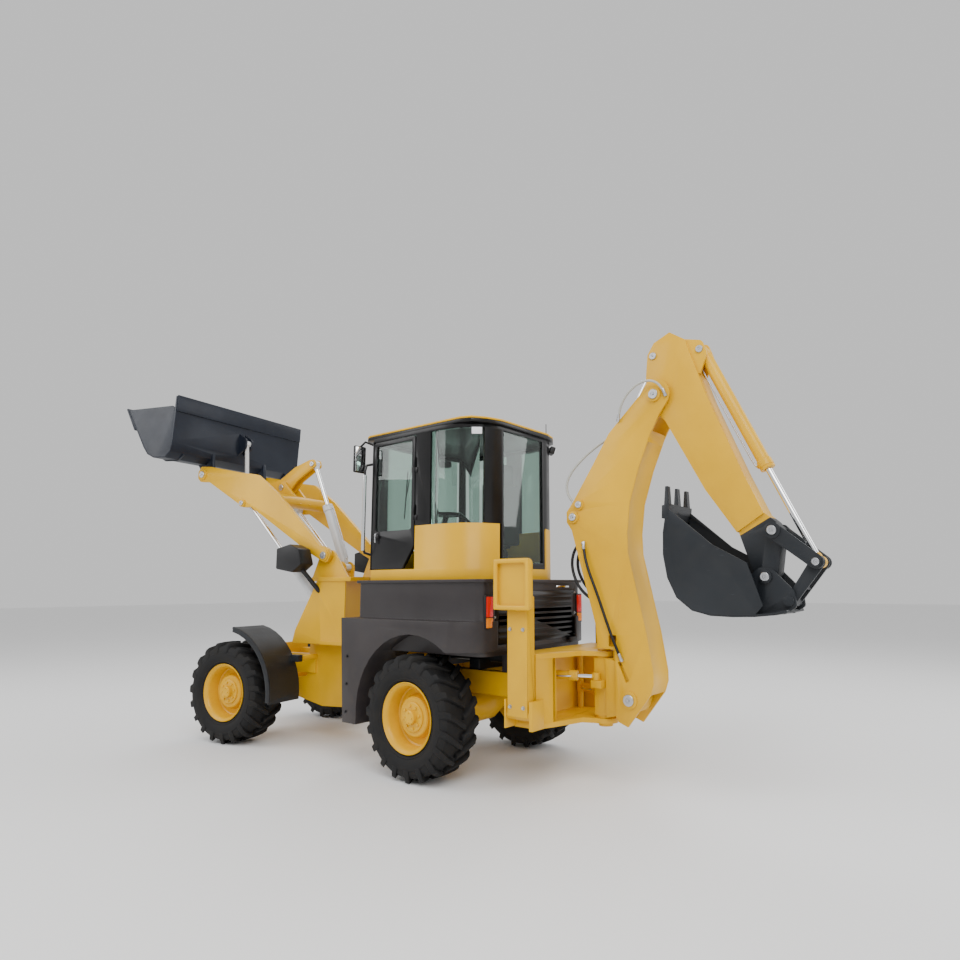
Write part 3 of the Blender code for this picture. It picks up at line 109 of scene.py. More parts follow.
class Finish:
    """A material with a Principled shader, and the nodes that vary it."""

    def __init__(self, name, colour, roughness, metallic=0.0, **constants):
        self.material = bpy.data.materials.new(name)
        self.material.use_nodes = True
        self.tree = self.material.node_tree
        self.shader = self.tree.nodes["Principled BSDF"]
        self.put(self.shader, {"Base Color": (*colour, 1), "Roughness": roughness, "Metallic": metallic,
                               "Specular IOR Level": 0.5 if metallic else 0.3,
                               **{key.replace("_", " ").title().replace("Ior", "IOR"): value
                                  for key, value in constants.items()}})
        self.place = Wire(self, self.tree.nodes.new("ShaderNodeTexCoord").outputs["Object"])

    def put(self, node, sockets):
        for key, value in sockets.items():
            if isinstance(value, Wire):
                self.tree.links.new(value.socket, node.inputs[key])
            else:
                node.inputs[key].default_value = value

    def node(self, kind, settings, sockets, output=0):
        made = self.tree.nodes.new("ShaderNode" + kind)
        for key, value in settings.items():
            setattr(made, key, value)
        self.put(made, sockets)
        return Wire(self, made.outputs[output])

    def noise(self, scale, detail=3.0, stretch=(1, 1, 1), rough=0.5):
        place = self.place
        if stretch != (1, 1, 1):
            place = self.node("Mapping", {}, {"Vector": place, "Scale": stretch})
        return self.node("TexNoise", {}, {"Vector": place, "Scale": scale, "Detail": detail,
                                          "Roughness": rough})

    def height(self):
        return self.node("SeparateXYZ", {}, {"Vector": self.place}, "Z")

    def mix(self, share, first, second):
        first, second = [c if isinstance(c, Wire) else (*c, 1) for c in (first, second)]
        made = self.tree.nodes.new("ShaderNodeMix")
        made.data_type = "RGBA"
        for socket, value in ((made.inputs[0], share), (made.inputs[6], first), (made.inputs[7], second)):
            if isinstance(value, Wire):
                self.tree.links.new(value.socket, socket)
            else:
                socket.default_value = value
        return Wire(self, made.outputs[2])

    def surface(self, **values):
        self.put(self.shader, {key.replace("_", " ").title(): value for key, value in values.items()})

    def bump(self, height, strength, distance=0.002):
        self.surface(normal=self.node("Bump", {}, {"Height": height, "Strength": strength,
                                                   "Distance": distance}))


DUST = (0.23, 0.18, 0.12)


def enamel(name, deep, light, roughness, peel=0.05, dust=0.30, wear=None, coat=0.3):
    """Sprayed enamel: colour drift, orange peel, road dust low down, and scuffs where wear names their colour."""
    paint = Finish(name, deep, roughness, coat_weight=coat, coat_roughness=0.10)
    drift = paint.noise(1.7, 4.0).between(0.35, 0.65)
    colour = paint.mix(drift, deep, light)
    grime = paint.noise(6.0, 6.0, rough=0.65)
    low = 1 - paint.height().between(0.15, 1.5)
    dirty = (grime.between(0.42, 0.75) * (low * dust + dust * 0.18))
    colour = paint.mix(dirty, colour, DUST)
    rough = roughness + grime.between(0.3, 0.8) * 0.14 + dirty * 0.5
    if wear:
        scuffs = paint.noise(5.0, 8.0, stretch=(1, 1, 7), rough=0.7).between(0.63, 0.72)
        fine = paint.noise(60.0, 2.0, stretch=(1, 9, 1)).between(0.60, 0.70) * 0.5
        worn = (scuffs * 0.6 + fine * scuffs).maths("MINIMUM", 1.0)
        colour = paint.mix(worn, colour, wear)
        rough = rough + worn * 0.10
    paint.surface(base_color=colour, roughness=rough)
    paint.bump(paint.noise(330.0, 1.0) * 0.5 + grime * 0.6, peel)
    return paint.material


def rubber():
    tread = Finish("tyre_rubber", (0.013, 0.013, 0.014), 0.72)
    grime = tread.noise(9.0, 7.0, rough=0.7).between(0.45, 0.72)
    tread.surface(base_color=tread.mix(grime * 0.30, (0.006, 0.006, 0.0065), (0.050, 0.043, 0.034)),
                  roughness=0.68 + grime * 0.22)
    tread.bump(tread.noise(180.0, 3.0) * 0.5 + tread.noise(30.0, 3.0) * 0.5, 0.16)
    return tread.material


def plated(name, colour, roughness, scratch=0.05):
    """Bright metal with fine turning marks."""
    metal = Finish(name, colour, roughness, 1.0)
    marks = metal.noise(260.0, 2.0, stretch=(1, 1, 0.04))
    metal.surface(roughness=roughness + marks * scratch)
    metal.bump(marks, 0.03)
    return metal.material


def pane_glass():
    glass = Finish("tinted_glass", (0.50, 0.64, 0.58), 0.015, transmission_weight=1.0, ior=1.45)
    film = glass.noise(3.0, 5.0).between(0.45, 0.8)
    glass.surface(roughness=0.012 + film * 0.03)
    return glass.material


def moulded(name, colour, roughness, grain=420.0, strength=0.10, variation=0.25):
    """Moulded plastic, vinyl or hose rubber with a fine grain."""
    plastic = Finish(name, colour, roughness)
    tone = plastic.noise(4.0, 4.0)
    lighter = [c * (1 + variation) + 0.004 for c in colour]
    plastic.surface(base_color=plastic.mix(tone.between(0.3, 0.7), colour, lighter),
                    roughness=roughness + (tone - 0.5) * 0.12)
    plastic.bump(plastic.node("TexVoronoi", {}, {"Vector": plastic.place, "Scale": grain}), strength, 0.0006)
    return plastic.material


def lens(name, colour, glow):
    clear = Finish(name, colour, 0.06, transmission_weight=0.25, ior=1.46)
    clear.put(clear.shader, {"Emission Color": (*colour, 1), "Emission Strength": glow})
    ribs = clear.noise(70.0, 0.0, stretch=(1, 1, 0.2))
    clear.bump(ribs, 0.25, 0.001)
    return clear.material


YELLOW = enamel("yellow_paint", (0.66, 0.355, 0.0), (0.76, 0.42, 0.0), 0.33, 0.045, 0.05, coat=0.08)
CHARCOAL = enamel("charcoal_paint", (0.024, 0.020, 0.021), (0.034, 0.029, 0.030), 0.40, 0.07, 0.10, coat=0.1)
BLACK = enamel("black_paint", (0.003, 0.003, 0.0035), (0.006, 0.006, 0.007), 0.28, 0.04, 0.04, coat=0.1)
BUCKET = enamel("bucket_paint", (0.005, 0.008, 0.016), (0.009, 0.014, 0.026), 0.36, 0.06, 0.05,
                (0.035, 0.042, 0.055), 0.05)
DARK = enamel("dark_paint", (0.008, 0.010, 0.013), (0.014, 0.017, 0.021), 0.42, 0.07, 0.08,
              (0.045, 0.05, 0.058), 0.05)
PALE = enamel("cylinder_grey", (0.52, 0.53, 0.54), (0.62, 0.63, 0.64), 0.26, 0.03, 0.12)
TYRE = rubber()
CHROME = plated("chrome", (0.86, 0.87, 0.88), 0.07)
STEEL = plated("zinc_steel", (0.50, 0.51, 0.53), 0.30, 0.12)
MIRROR = plated("mirror", (0.95, 0.96, 0.97), 0.02, 0.0)
GLASS = pane_glass()
VINYL = moulded("seat_vinyl", (0.016, 0.016, 0.018), 0.50, 300.0, 0.25)
PLASTIC = moulded("black_plastic", (0.011, 0.011, 0.012), 0.42)
HOSE = moulded("hose_rubber", (0.010, 0.010, 0.011), 0.40, 500.0, 0.2)
PALE_HOSE = moulded("hose_sleeve", (0.42, 0.42, 0.38), 0.45, 300.0, 0.2, 0.1)
WHITE_LENS = lens("lamp_lens", (0.92, 0.94, 0.96), 0.25)
RED_LENS = lens("tail_lens", (0.65, 0.012, 0.008), 0.35)
AMBER_LENS = lens("amber_lens", (0.95, 0.26, 0.01), 0.15)
FINISH = {"yellow_paint": YELLOW, "charcoal_paint": CHARCOAL, "black_paint": BLACK, "bucket_paint": BUCKET,
          "dark_paint": DARK, "tyre_rubber": TYRE, "cylinder_steel": PALE, "chrome_rod": CHROME,
          "tinted_glass": GLASS, "seat_vinyl": VINYL}


# --- modelling ----------------------------------------------------------------------------------------
def active(obj):
    bpy.ops.object.select_all(action="DESELECT")
    obj.select_set(True)
    bpy.context.view_layer.objects.active = obj
    return obj


def edited(obj, *steps):
    """Runs edit-mode steps with everything selected."""
    active(obj)
    bpy.ops.object.mode_set(mode="EDIT")
    bpy.ops.mesh.select_all(action="SELECT")
    for step in steps:
        step()
    bpy.ops.object.mode_set(mode="OBJECT")
    return obj


def applied(obj, kind, **settings):
    """Adds a modifier, sets it and applies it."""
    active(obj)
    change = obj.modifiers.new(kind.lower(), kind)
    for key, value in settings.items():
        setattr(change, key, value)
    bpy.ops.object.modifier_apply(modifier=change.name)
    return obj


def outward():
    bpy.ops.mesh.remove_doubles(threshold=1e-5)
    bpy.ops.mesh.normals_make_consistent(inside=False)


def softened(obj, width, steps=2, angle=35):
    """Rounds the sharp edges and shades the rest smooth."""
    applied(obj, "BEVEL", width=width, segments=steps, limit_method="ANGLE", angle_limit=math.radians(angle),
            use_clamp_overlap=True, harden_normals=False, miter_outer="MITER_ARC")
    active(obj)
    bpy.ops.object.shade_smooth_by_angle(angle=math.radians(40))
    return obj


def settled(obj, matrix=None):
    """Puts a piece's place into its mesh."""
    if matrix is not None:
        obj.matrix_world = matrix @ obj.matrix_world
    active(obj)
    bpy.ops.object.transform_apply(location=True, rotation=True, scale=True)
    return obj


def joined(name, pieces):
    """Several meshes made one object."""
    bpy.ops.object.select_all(action="DESELECT")
    for piece in pieces:
        piece.select_set(True)
    bpy.context.view_layer.objects.active = pieces[0]
    if len(pieces) > 1:
        bpy.ops.object.join()
    pieces[0].name = name
    return pieces[0]


def fitted(name, obj, body, material, stands_for=()):
    """Names a finished piece, gives it its finish and hands it to its body."""
    obj.name = name
    obj.data.name = name
    if material:
        obj.data.materials.clear()
        obj.data.materials.append(material)
    settled(obj)
    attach(obj, body)
    if stands_for:
        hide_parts(*stands_for)
    return obj


def box(low, high, width=0.004, steps=2, matrix=None):
    """A rounded block between two corners."""
    low, high = Vector(low), Vector(high)
    bpy.ops.mesh.primitive_cube_add(size=1, location=(low + high) / 2)
    made = bpy.context.object
    made.scale = high - low
    bpy.ops.object.transform_apply(location=True, rotation=True, scale=True)
    softened(made, width, steps)
    return settled(made, matrix) if matrix is not None else made


def turned(profile, steps=48, matrix=None):
    """A closed or open profile of (radius, distance along +Y) spun round the Y axis."""
    mesh = bpy.data.meshes.new("profile")
    mesh.from_pydata([(radius, along, 0) for radius, along in profile],
                     [(k, k + 1) for k in range(len(profile) - 1)], [])
    made = bpy.data.objects.new("turned", mesh)
    bpy.context.scene.collection.objects.link(made)
    edited(made, lambda: bpy.ops.mesh.spin(steps=steps, angle=math.tau, center=(0, 0, 0), axis=(0, 1, 0)),
           outward)
    active(made)
    bpy.ops.object.shade_smooth_by_angle(angle=math.radians(32))
    return settled(made, matrix) if matrix is not None else made


def aimed(spot, way):
    """The matrix that stands the Y axis of a piece along a direction at a place."""
    return Matrix.Translation(spot) @ Vector((0, 1, 0)).rotation_difference(Vector(way)).to_matrix().to_4x4()


def pipe(name, points, radius, body, material=HOSE, sides=3):
    """A hose or rail on a smooth curve through its points."""
    curve = bpy.data.curves.new(name, "CURVE")
    curve.dimensions = "3D"
    curve.bevel_depth, curve.bevel_resolution, curve.resolution_u = radius, sides, 8
    curve.use_fill_caps = True
    spline = curve.splines.new("NURBS")
    spline.points.add(len(points) - 1)
    for point, place in zip(spline.points, points):
        point.co = (*place, 1)
    spline.use_endpoint_u = True
    spline.order_u = 4 if len(points) > 3 else 3
    made = bpy.data.objects.new(name, curve)
    bpy.context.scene.collection.objects.link(made)
    active(made)
    bpy.ops.object.convert(target="MESH")
    made = bpy.context.object
    edited(made, outward)
    bpy.ops.object.shade_smooth_by_angle(angle=math.radians(50))
    return fitted(name, made, body, material)


def hex_bolts(places, way, size, matrix=None):
    """Bolt heads with washers, all facing one way."""
    made = []
    for place in places:
        bpy.ops.mesh.primitive_cylinder_add(vertices=6, radius=size, depth=size * 1.1,
                                            location=(0, size * 0.75, 0),
                                            rotation=(math.pi / 2, 0, 0))
        head = bpy.context.object
        bpy.ops.object.transform_apply(location=True, rotation=True, scale=True)
        softened(head, size * 0.12, 1)
        washer = turned([(0, 0), (size * 1.35, 0), (size * 1.35, size * 0.22), (0, size * 0.22)], 20)
        made.append(settled(joined("bolt", [head, washer]), aimed(place, way)))
    bolts = joined("bolts", made)
    return settled(bolts, matrix) if matrix is not None else bolts


# --- softened copies of the plain parts ---------------------------------------------------------------
WELD = 2e-5                              # points this near are one, in metres
FLAT = math.radians(0.6)                 # faces that bend less than this are one


def refined(node, width=0.004, material=None, steps=2):
    """A copy of a plain part with its flat faces merged and its edges rounded, which stands for it."""
    mesh = frame["nodes"][node].data.copy()
    made = bpy.data.objects.new(node + "_finish", mesh)
    bpy.context.scene.collection.objects.link(made)
    edited(made, lambda: bpy.ops.mesh.remove_doubles(threshold=WELD),
           lambda: bpy.ops.mesh.dissolve_limited(angle_limit=FLAT))
    softened(made, width, steps)
    return fitted(node + "_finish", made, BODY_OF[node], material or FINISH[SLOT_OF[node]],
                  (node,))


REFINED = {
    "rear_frame": 0.006, "rear_axle": 0.006, "engine_block": 0.006, "body_cover": 0.008, "cab_body": 0.006,
    "cab_floor": 0.005, "cab_frame": 0.004, "backhoe_frame": 0.005, "left_door": 0.004,
    "front_frame": 0.006, "front_axle": 0.006, "left_mudguard": 0.005, "right_mudguard": 0.005,
    "lift_arms": 0.006, "loader_bucket": 0.005, "bellcrank": 0.005, "bucket_link": 0.004, "swing_post": 0.007,
    "boom": 0.005, "digging_bucket": 0.004, "bucket_rocker": 0.004, "bucket_h_link": 0.004,
    "left_stabilizer_leg": 0.008, "right_stabilizer_leg": 0.008, "left_stabilizer_pad": 0.008,
    "right_stabilizer_pad": 0.008, "rear_grille": 0.001,
}
for plain, width in REFINED.items():
    refined(plain, width)
for node in ("windscreen", "rear_window", "left_corner_window", "right_corner_window", "right_window",
             "left_door_glass"):
    refined(node, 0.0015, GLASS, 1)


# --- wheels -------------------------------------------------------------------------------------------
low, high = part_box("rear_left_tyre")
TYRE_RADIUS, TYRE_HALF = (high.z - low.z) / 2, (high.y - low.y) / 2
low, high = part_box("rear_left_rim")
RIM_RADIUS = (high.z - low.z) / 2
LUG_HEIGHT = 0.036
LUGS = 19


def tyre_carcass():
    half, tread = TYRE_HALF, TYRE_RADIUS - LUG_HEIGHT
    bead, seat = half - 0.045, RIM_RADIUS - 0.018
    wall = [(seat, bead - 0.012), (seat + 0.006, bead), (RIM_RADIUS + 0.004, bead + 0.004),
            (RIM_RADIUS + 0.014, bead + 0.018),
            (RIM_RADIUS + 0.026, half - 0.018), (RIM_RADIUS + 0.032, half - 0.020),
            (RIM_RADIUS + 0.060, half - 0.005),
            (RIM_RADIUS + 0.085, half), (tread - 0.075, half - 0.001), (tread - 0.070, half - 0.006),
            (tread - 0.040, half - 0.010), (tread - 0.014, half - 0.026), (tread - 0.002, half - 0.060),
            (tread, half * 0.35)]
    loop = wall + [(radius, -y) for radius, y in reversed(wall)]
    return turned(loop + [loop[0]], 84)


def lug(side, lean):
    """One tread bar: from the middle of the tread, slanting to the shoulder and down the side wall."""
    tread, half = TYRE_RADIUS - LUG_HEIGHT, TYRE_HALF
    line = [(0.000, -0.012, 0.000, 0.92), (0.060, 0.055, 0.000, 1.0), (0.125, 0.118, 0.001, 1.0),
            (0.178, half - 0.030, 0.006, 1.0), (0.200, half - 0.007, 0.034, 1.0),
            (0.208, half + 0.001, 0.074, 0.35)]
    points, faces = [], []
    for turn, y, drop, thick in line:
        for edge in (-1, 1):
            for top in (0, 1):
                wide = (0.052 if top == 0 else 0.036) * (1.0 + 0.35 * turn / 0.2)
                angle = lean * turn * 1.25 + edge * wide / 2 / tread
                radius = tread - drop - 0.012 + top * (LUG_HEIGHT * thick + 0.012)
                reach = y if not top or y < half - 0.02 else y - 0.002
                points.append((radius * math.sin(angle), side * reach, radius * math.cos(angle)))
    count = len(line)
    for k in range(count - 1):
        a, b = 4 * k, 4 * k + 4
        faces += [(a, a + 1, b + 1, b), (a + 1, a + 3, b + 3, b + 1), (a + 3, a + 2, b + 2, b + 3),
                  (a + 2, a, b, b + 2)]
    faces += [(0, 2, 3, 1), (4 * count - 4, 4 * count - 3, 4 * count - 1, 4 * count - 2)]
    mesh = bpy.data.meshes.new("lug")
    mesh.from_pydata(points, [], faces)
    made = bpy.data.objects.new("lug", mesh)
    bpy.context.scene.collection.objects.link(made)
    edited(made, outward)
    softened(made, 0.004, 2, 30)
    return made


def ringed(obj, count, start=0.0):
    """Copies of a piece all round the Y axis."""
    copies = [obj]
    for k in range(1, count):
        copy = obj.copy()
        copy.data = obj.data.copy()
        bpy.context.scene.collection.objects.link(copy)
        copies.append(copy)
    for k, copy in enumerate(copies):
        copy.matrix_world = Matrix.Rotation(start + math.tau * k / count, 4, "Y")
        settled(copy)
    return copies


def rim_shape():
    """The pressed wheel: flanges, drop centre, deep dish and raised hub."""
    half, seat = TYRE_HALF - 0.0225, RIM_RADIUS - 0.016
    profile = [
        (0.0, 0.108), (0.118, 0.108), (0.126, 0.103), (0.128, 0.092), (0.138, 0.090), (0.160, 0.088),
        (0.170, 0.080),
        (0.176, 0.062), (0.180, 0.040), (0.192, 0.026), (seat - 0.045, 0.020), (seat - 0.032, 0.028),
        (seat - 0.028, 0.060), (seat - 0.026, half - 0.050), (seat - 0.018, half - 0.026),
        (seat - 0.006, half - 0.016),
        (seat + 0.004, half - 0.008), (RIM_RADIUS - 0.006, half), (RIM_RADIUS - 0.001, half - 0.004),
        (RIM_RADIUS - 0.001, half - 0.012), (seat + 0.004, half - 0.018), (seat, half - 0.030),
        (seat, -half + 0.030),
        (RIM_RADIUS - 0.001, -half + 0.012), (RIM_RADIUS - 0.004, -half), (seat - 0.020, -half + 0.02),
        (seat - 0.03, -0.05), (seat - 0.04, 0.0), (0.16, -0.01), (0.150, AXLE_END), (0.0, AXLE_END)]
    return turned(profile, 64)


AXLE_END = -0.068


def hub_parts():
    cap = turned([(0.0, 0.146), (0.052, 0.146), (0.060, 0.140), (0.062, 0.110), (0.062, 0.100),
                  (0.0, 0.100)], 32)
    return [cap, *ringed(hex_bolts([(0.094, 0.104, 0)], (0, 1, 0), 0.0125), 8, 0.2),
            *ringed(hex_bolts([(0.042, 0.145, 0)], (0, 1, 0), 0.006), 4)]


for end in ("rear", "front"):
    for hand, outer in (("left", 1), ("right", -1)):
        joint = JOINTS[f"{end}_{hand}_wheel_spin"]
        place = Matrix.Translation(joint["pos_m"]) @ Matrix.Rotation(
            (STEER if end == "front" else 0) + (0 if outer > 0 else math.pi), 4, "Z")
        wheel = f"{end}_{hand}"
        lean = outer
        bars = ringed(lug(1, lean), LUGS) + ringed(lug(-1, lean), LUGS, math.pi / LUGS)
        tyre = settled(joined("tyre", [tyre_carcass(), *bars]), place)
        fitted(f"{wheel}_treaded_tyre", tyre, f"{wheel}_wheel", TYRE, (f"{wheel}_tyre",))
        rim = settled(rim_shape(), place)
        fitted(f"{wheel}_pressed_rim", rim, f"{wheel}_wheel", YELLOW, (f"{wheel}_rim",))
        hub = settled(joined("hub", hub_parts()), place)
        fitted(f"{wheel}_hub_bolts", hub, f"{wheel}_wheel", YELLOW)


# --- hydraulic cylinders ------------------------------------------------------------------------------
def cylinder_parts(prefix, radius, barrel, rod, base_half, eye_half, paint, cross=(0, 1, 0),
                   neck_start=1.5):
    """Barrel with gland, ports and pipe, and a plated rod with its eye, between the pins of the joints."""
    base, end = pin_of(f"{prefix}_barrel_pivot"), pin_of(f"{prefix}_rod_slide")
    way = (end - base).normalized()
    cross = Vector(cross).normalized()
    reach = (end - base).length
    rod_radius, tail = radius * 0.5, radius * 0.9
    shaft = turned([
        (0, tail * 0.55), (radius * 0.72, tail * 0.6), (radius * 0.98, tail + 0.012), (radius, tail + 0.022),
        (radius, barrel - 0.075), (radius + 0.003, barrel - 0.073), (radius + 0.008, barrel - 0.066),
        (radius + 0.008, barrel - 0.020), (radius + 0.004, barrel - 0.016), (radius + 0.004, barrel - 0.012),
        (radius + 0.008, barrel - 0.009), (radius + 0.006, barrel + 0.004), (radius - 0.004, barrel + 0.006),
        (rod_radius + 0.006, barrel + 0.006), (rod_radius + 0.002, barrel - 0.004),
        (rod_radius + 0.002, tail + 0.012),
        (0, tail + 0.012)], 40, aimed(base, way))
    eye = turned([(0.0, -base_half), (tail - 0.003, -base_half), (tail, -base_half + 0.003),
                  (tail, base_half - 0.003),
                  (tail - 0.003, base_half), (0.0, base_half)], 36, aimed(base, cross))
    side = way.cross(cross).normalized()
    ports = []
    for along in (tail + 0.05, barrel - 0.045):
        spot = base + way * along
        ports.append(turned([(0, radius - 0.004), (0.015, radius - 0.004), (0.015, radius + 0.016),
                             (0.010, radius + 0.018), (0, radius + 0.018)], 20, aimed(spot, side)))
    weld = turned([(tail * 0.80, tail * 0.98), (tail * 0.95, tail + 0.004), (tail * 0.80, tail + 0.014),
                   (tail * 0.80, tail * 0.98)], 32, aimed(base, way))
    node = prefix + "_cylinder_barrel"
    fitted(prefix + "_barrel_shell", joined("barrel", [shaft, eye, weld, *ports]), BODY_OF[node], paint,
           (node,))
    start = base + way * (tail + 0.05) + side * (radius + 0.014)
    far = base + way * (barrel - 0.045) + side * (radius + 0.014)
    line = [start, start + side * 0.012 + way * 0.02, start + side * 0.012 + way * 0.06,
            far + side * 0.012 - way * 0.06, far + side * 0.012 - way * 0.02, far]
    pipe(prefix + "_oil_pipe", line, 0.006, BODY_OF[node], STEEL)
    rod_end = base + way * (reach - rod)
    bore = turned([(0, 0), (rod_radius - 0.002, 0), (rod_radius, 0.002), (rod_radius, rod - tail * 0.7),
                   (0, rod - tail * 0.7)],
                  36, aimed(rod_end, way))
    node = prefix + "_cylinder_rod"
    fitted(prefix + "_plated_rod", bore, BODY_OF[node], CHROME, (node,))
    cap = turned([(0, -eye_half), (tail - 0.002, -eye_half), (tail, -eye_half + 0.002),
                  (tail, eye_half - 0.002),
                  (tail - 0.002, eye_half), (0, eye_half)], 36, aimed(end, cross))
    neck = turned([(0, reach - tail * neck_start), (rod_radius * 1.15, reach - tail * neck_start),
                   (rod_radius * 1.40, reach - tail * 1.02), (rod_radius * 1.40, reach - tail * 0.5),
                   (0, reach - tail * 0.5)], 32, aimed(base, way))
    fitted(prefix + "_rod_eye", joined("eye", [cap, neck]), BODY_OF[node], paint)


SIDEWAYS = JOINTS["loader_lift"]["axis"]
cylinder_parts("tilt", 0.052, 0.80, 0.72, 0.058, 0.032, PALE, SIDEWAYS)
for hand in ("left", "right"):
    cylinder_parts(f"{hand}_lift", 0.046, 1.06, 1.05, 0.052, 0.045, PALE, SIDEWAYS)
cylinder_parts("boom", 0.052, 0.93, 0.94, 0.062, 0.045, YELLOW)
cylinder_parts("dipper", 0.050, 0.74, 0.70, 0.056, 0.045, YELLOW)
cylinder_parts("bucket", 0.048, 1.10, 0.90, 0.056, 0.030, YELLOW)
for hand in ("left", "right"):
    cylinder_parts(f"{hand}_swing", 0.036, 0.262, 0.27, 0.045, 0.030, YELLOW, (0, 0, 1), 1.1)


# --- pivot pins ---------------------------------------------------------------------------------------
def pin_caps(name, spot, cross, half, radius, body, both_sides=True):
    """A pin's head with its keeper plate and bolt, on one or both sides."""
    cross = Vector(cross).normalized()
    made = []
    for sign in ((1, -1) if both_sides else (1,)):
        way = cross * sign
        head = turned([(0, 0.0), (radius, 0.0), (radius, 0.011), (radius - 0.004, 0.015),
                       (radius * 0.45, 0.015),
                       (radius * 0.40, 0.012), (0, 0.012)], 32, aimed(spot + way * half, way))
        made += [head, hex_bolts([spot + way * (half + 0.011)], way, radius * 0.22)]
    fitted(name, joined(name, made), body, STEEL)


ACROSS = (0, 1, 0)
for name, joint, node, cross, radius in (
        ("boom_foot_pin", "boom_lift", "boom", ACROSS, 0.046),
        ("boom_boss_pin", "boom_rod_slide", "boom", ACROSS, 0.034),
        ("dipper_pivot_pin", "dipper_swing", "boom", ACROSS, 0.040),
        ("dipper_ram_base_pin", "dipper_barrel_pivot", "boom", ACROSS, 0.030),
        ("dipper_ram_eye_pin", "dipper_rod_slide", "dipper", ACROSS, 0.030),
        ("bucket_ram_base_pin", "bucket_barrel_pivot", "dipper", ACROSS, 0.030),
        ("digging_bucket_pin", "digging_bucket_curl", "digging_bucket", ACROSS, 0.032),
        ("rocker_pin", "rocker_pivot", "bucket_rocker", ACROSS, 0.034),
        ("rocker_end_pin", "h_link_pivot", "bucket_rocker", ACROSS, 0.026),
        ("loader_bucket_pin", "bucket_tilt", "lift_arms", SIDEWAYS, 0.040),
        ("arm_pivot_pin", "loader_lift", "lift_arms", SIDEWAYS, 0.040),
        ("bellcrank_pin", "bellcrank_pivot", "lift_arms", SIDEWAYS, 0.036),
        ("horn_pin", "tilt_rod_slide", "bellcrank", SIDEWAYS, 0.030),
        ("crank_link_pin", "bucket_link_pivot", "bellcrank", SIDEWAYS, 0.028)):
    spot = pin_of(joint)
    middle_plane = pin_of("boom_lift") if cross is ACROSS else front(0, 0, 0)
    spot = spot - Vector(cross) * (spot - middle_plane).dot(Vector(cross))
    near = [abs((c.co - spot).dot(Vector(cross))) for c in frame["nodes"][node].data.vertices
            if ((c.co - spot) - Vector(cross) * (c.co - spot).dot(Vector(cross))).length < radius * 2.2]
    pin_caps(name, spot, cross, max(near) if near else 0.1, radius, BODY_OF[node])
for hand in ("left", "right"):
    spot = pin_of(f"{hand}_lift_rod_slide")
    outward_way = Vector(SIDEWAYS) * (1 if hand == "left" else -1)
    near = [(c.co - spot).dot(outward_way) for c in frame["nodes"]["lift_arms"].data.vertices
            if ((c.co - spot) - outward_way * (c.co - spot).dot(outward_way)).length < 0.07]
    pin_caps(f"{hand}_lift_eye_pin", spot, outward_way, max(near), 0.030, "arms", False)


# --- seat ---------------------------------------------------------------------------------------------
def cushion(name, low, high, crown, seams):
    """A crowned vinyl cushion with pulled-in sides and sewn channels."""
    low, high = Vector(low), Vector(high)
    bpy.ops.mesh.primitive_cube_add(size=1, location=(low + high) / 2)
    made = bpy.context.object
    made.scale = high - low
    bpy.ops.object.transform_apply(location=True, rotation=True, scale=True)
    edited(made, lambda: bpy.ops.mesh.subdivide(number_cuts=9))
    middle, half = (low + high) / 2, (high - low) / 2
    for vertex in made.data.vertices:
        u, v, w = [(vertex.co[k] - middle[k]) / half[k] for k in range(3)]
        thin = min(range(3), key=lambda k: half[k])
        flat = [k for k in range(3) if k != thin]
        share = (1 - abs((u, v, w)[flat[0]]) ** 3) * (1 - abs((u, v, w)[flat[1]]) ** 3)
        groove = sum(math.exp(-(((u, v, w)[1] - seam) / 0.05) ** 2) for seam in seams)
        vertex.co[thin] = middle[thin] + (vertex.co[thin] - middle[thin]) * (0.72 + crown * share - 0.14 * groove)
    applied(made, "SUBSURF", levels=1, render_levels=1)
    bpy.ops.object.shade_smooth()
    return made


low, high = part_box("seat")
seat_parts = [
    cushion("seat_base", (low.x + 0.13, low.y + 0.005, low.z + 0.004),
            (high.x - 0.003, high.y - 0.005, low.z + 0.122),
            0.26, (-0.55, 0.0, 0.55)),
    cushion("seat_back", (low.x + 0.003, low.y + 0.012, low.z + 0.045),
            (low.x + 0.137, high.y - 0.012, low.z + 0.630),
            0.26, (-0.55, 0.0, 0.55)),
    cushion("head_rest", (low.x + 0.014, low.y + 0.115, low.z + 0.600),
            (low.x + 0.106, high.y - 0.115, high.z - 0.003),
            0.26, ()),
]
seat = fitted("vinyl_seat", joined("vinyl_seat", seat_parts), "rear", VINYL, ("seat",))


# --- two-coloured parts -------------------------------------------------------------------------------
def parted(node, spot, way, width, near, far):
    """A part cut in two by a plane, each side a piece with its own finish. Far is the side the plane faces."""
    for name, (material, slot), keep_far, stands_for in (
            (near[0], near[1:], False, (node,)), (far[0], far[1:], True, ())):
        mesh = frame["nodes"][node].data.copy()
        made = bpy.data.objects.new(name, mesh)
        bpy.context.scene.collection.objects.link(made)
        edited(made, lambda: bpy.ops.mesh.remove_doubles(threshold=WELD),
               lambda: bpy.ops.mesh.dissolve_limited(angle_limit=FLAT),
               lambda: bpy.ops.mesh.bisect(plane_co=spot, plane_no=way, use_fill=True, clear_inner=keep_far,
                                           clear_outer=not keep_far))
        softened(made, width)
        fitted(name, made, BODY_OF[node], material, stands_for)


low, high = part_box("cab_roof")
parted("cab_roof", (0, 0, high.z - 0.020), (0, 0, 1), 0.006,
       ("roof_edge", BLACK, "black_paint"), ("roof_skin", YELLOW, "yellow_paint"))
dipper_way = (pin_of("digging_bucket_curl") - pin_of("dipper_swing")).normalized()
parted("dipper", pin_of("dipper_swing") + dipper_way * 1.33, dipper_way, 0.006,
       ("dipper_arm", YELLOW, "yellow_paint"), ("dipper_nose", DARK, "dark_paint"))


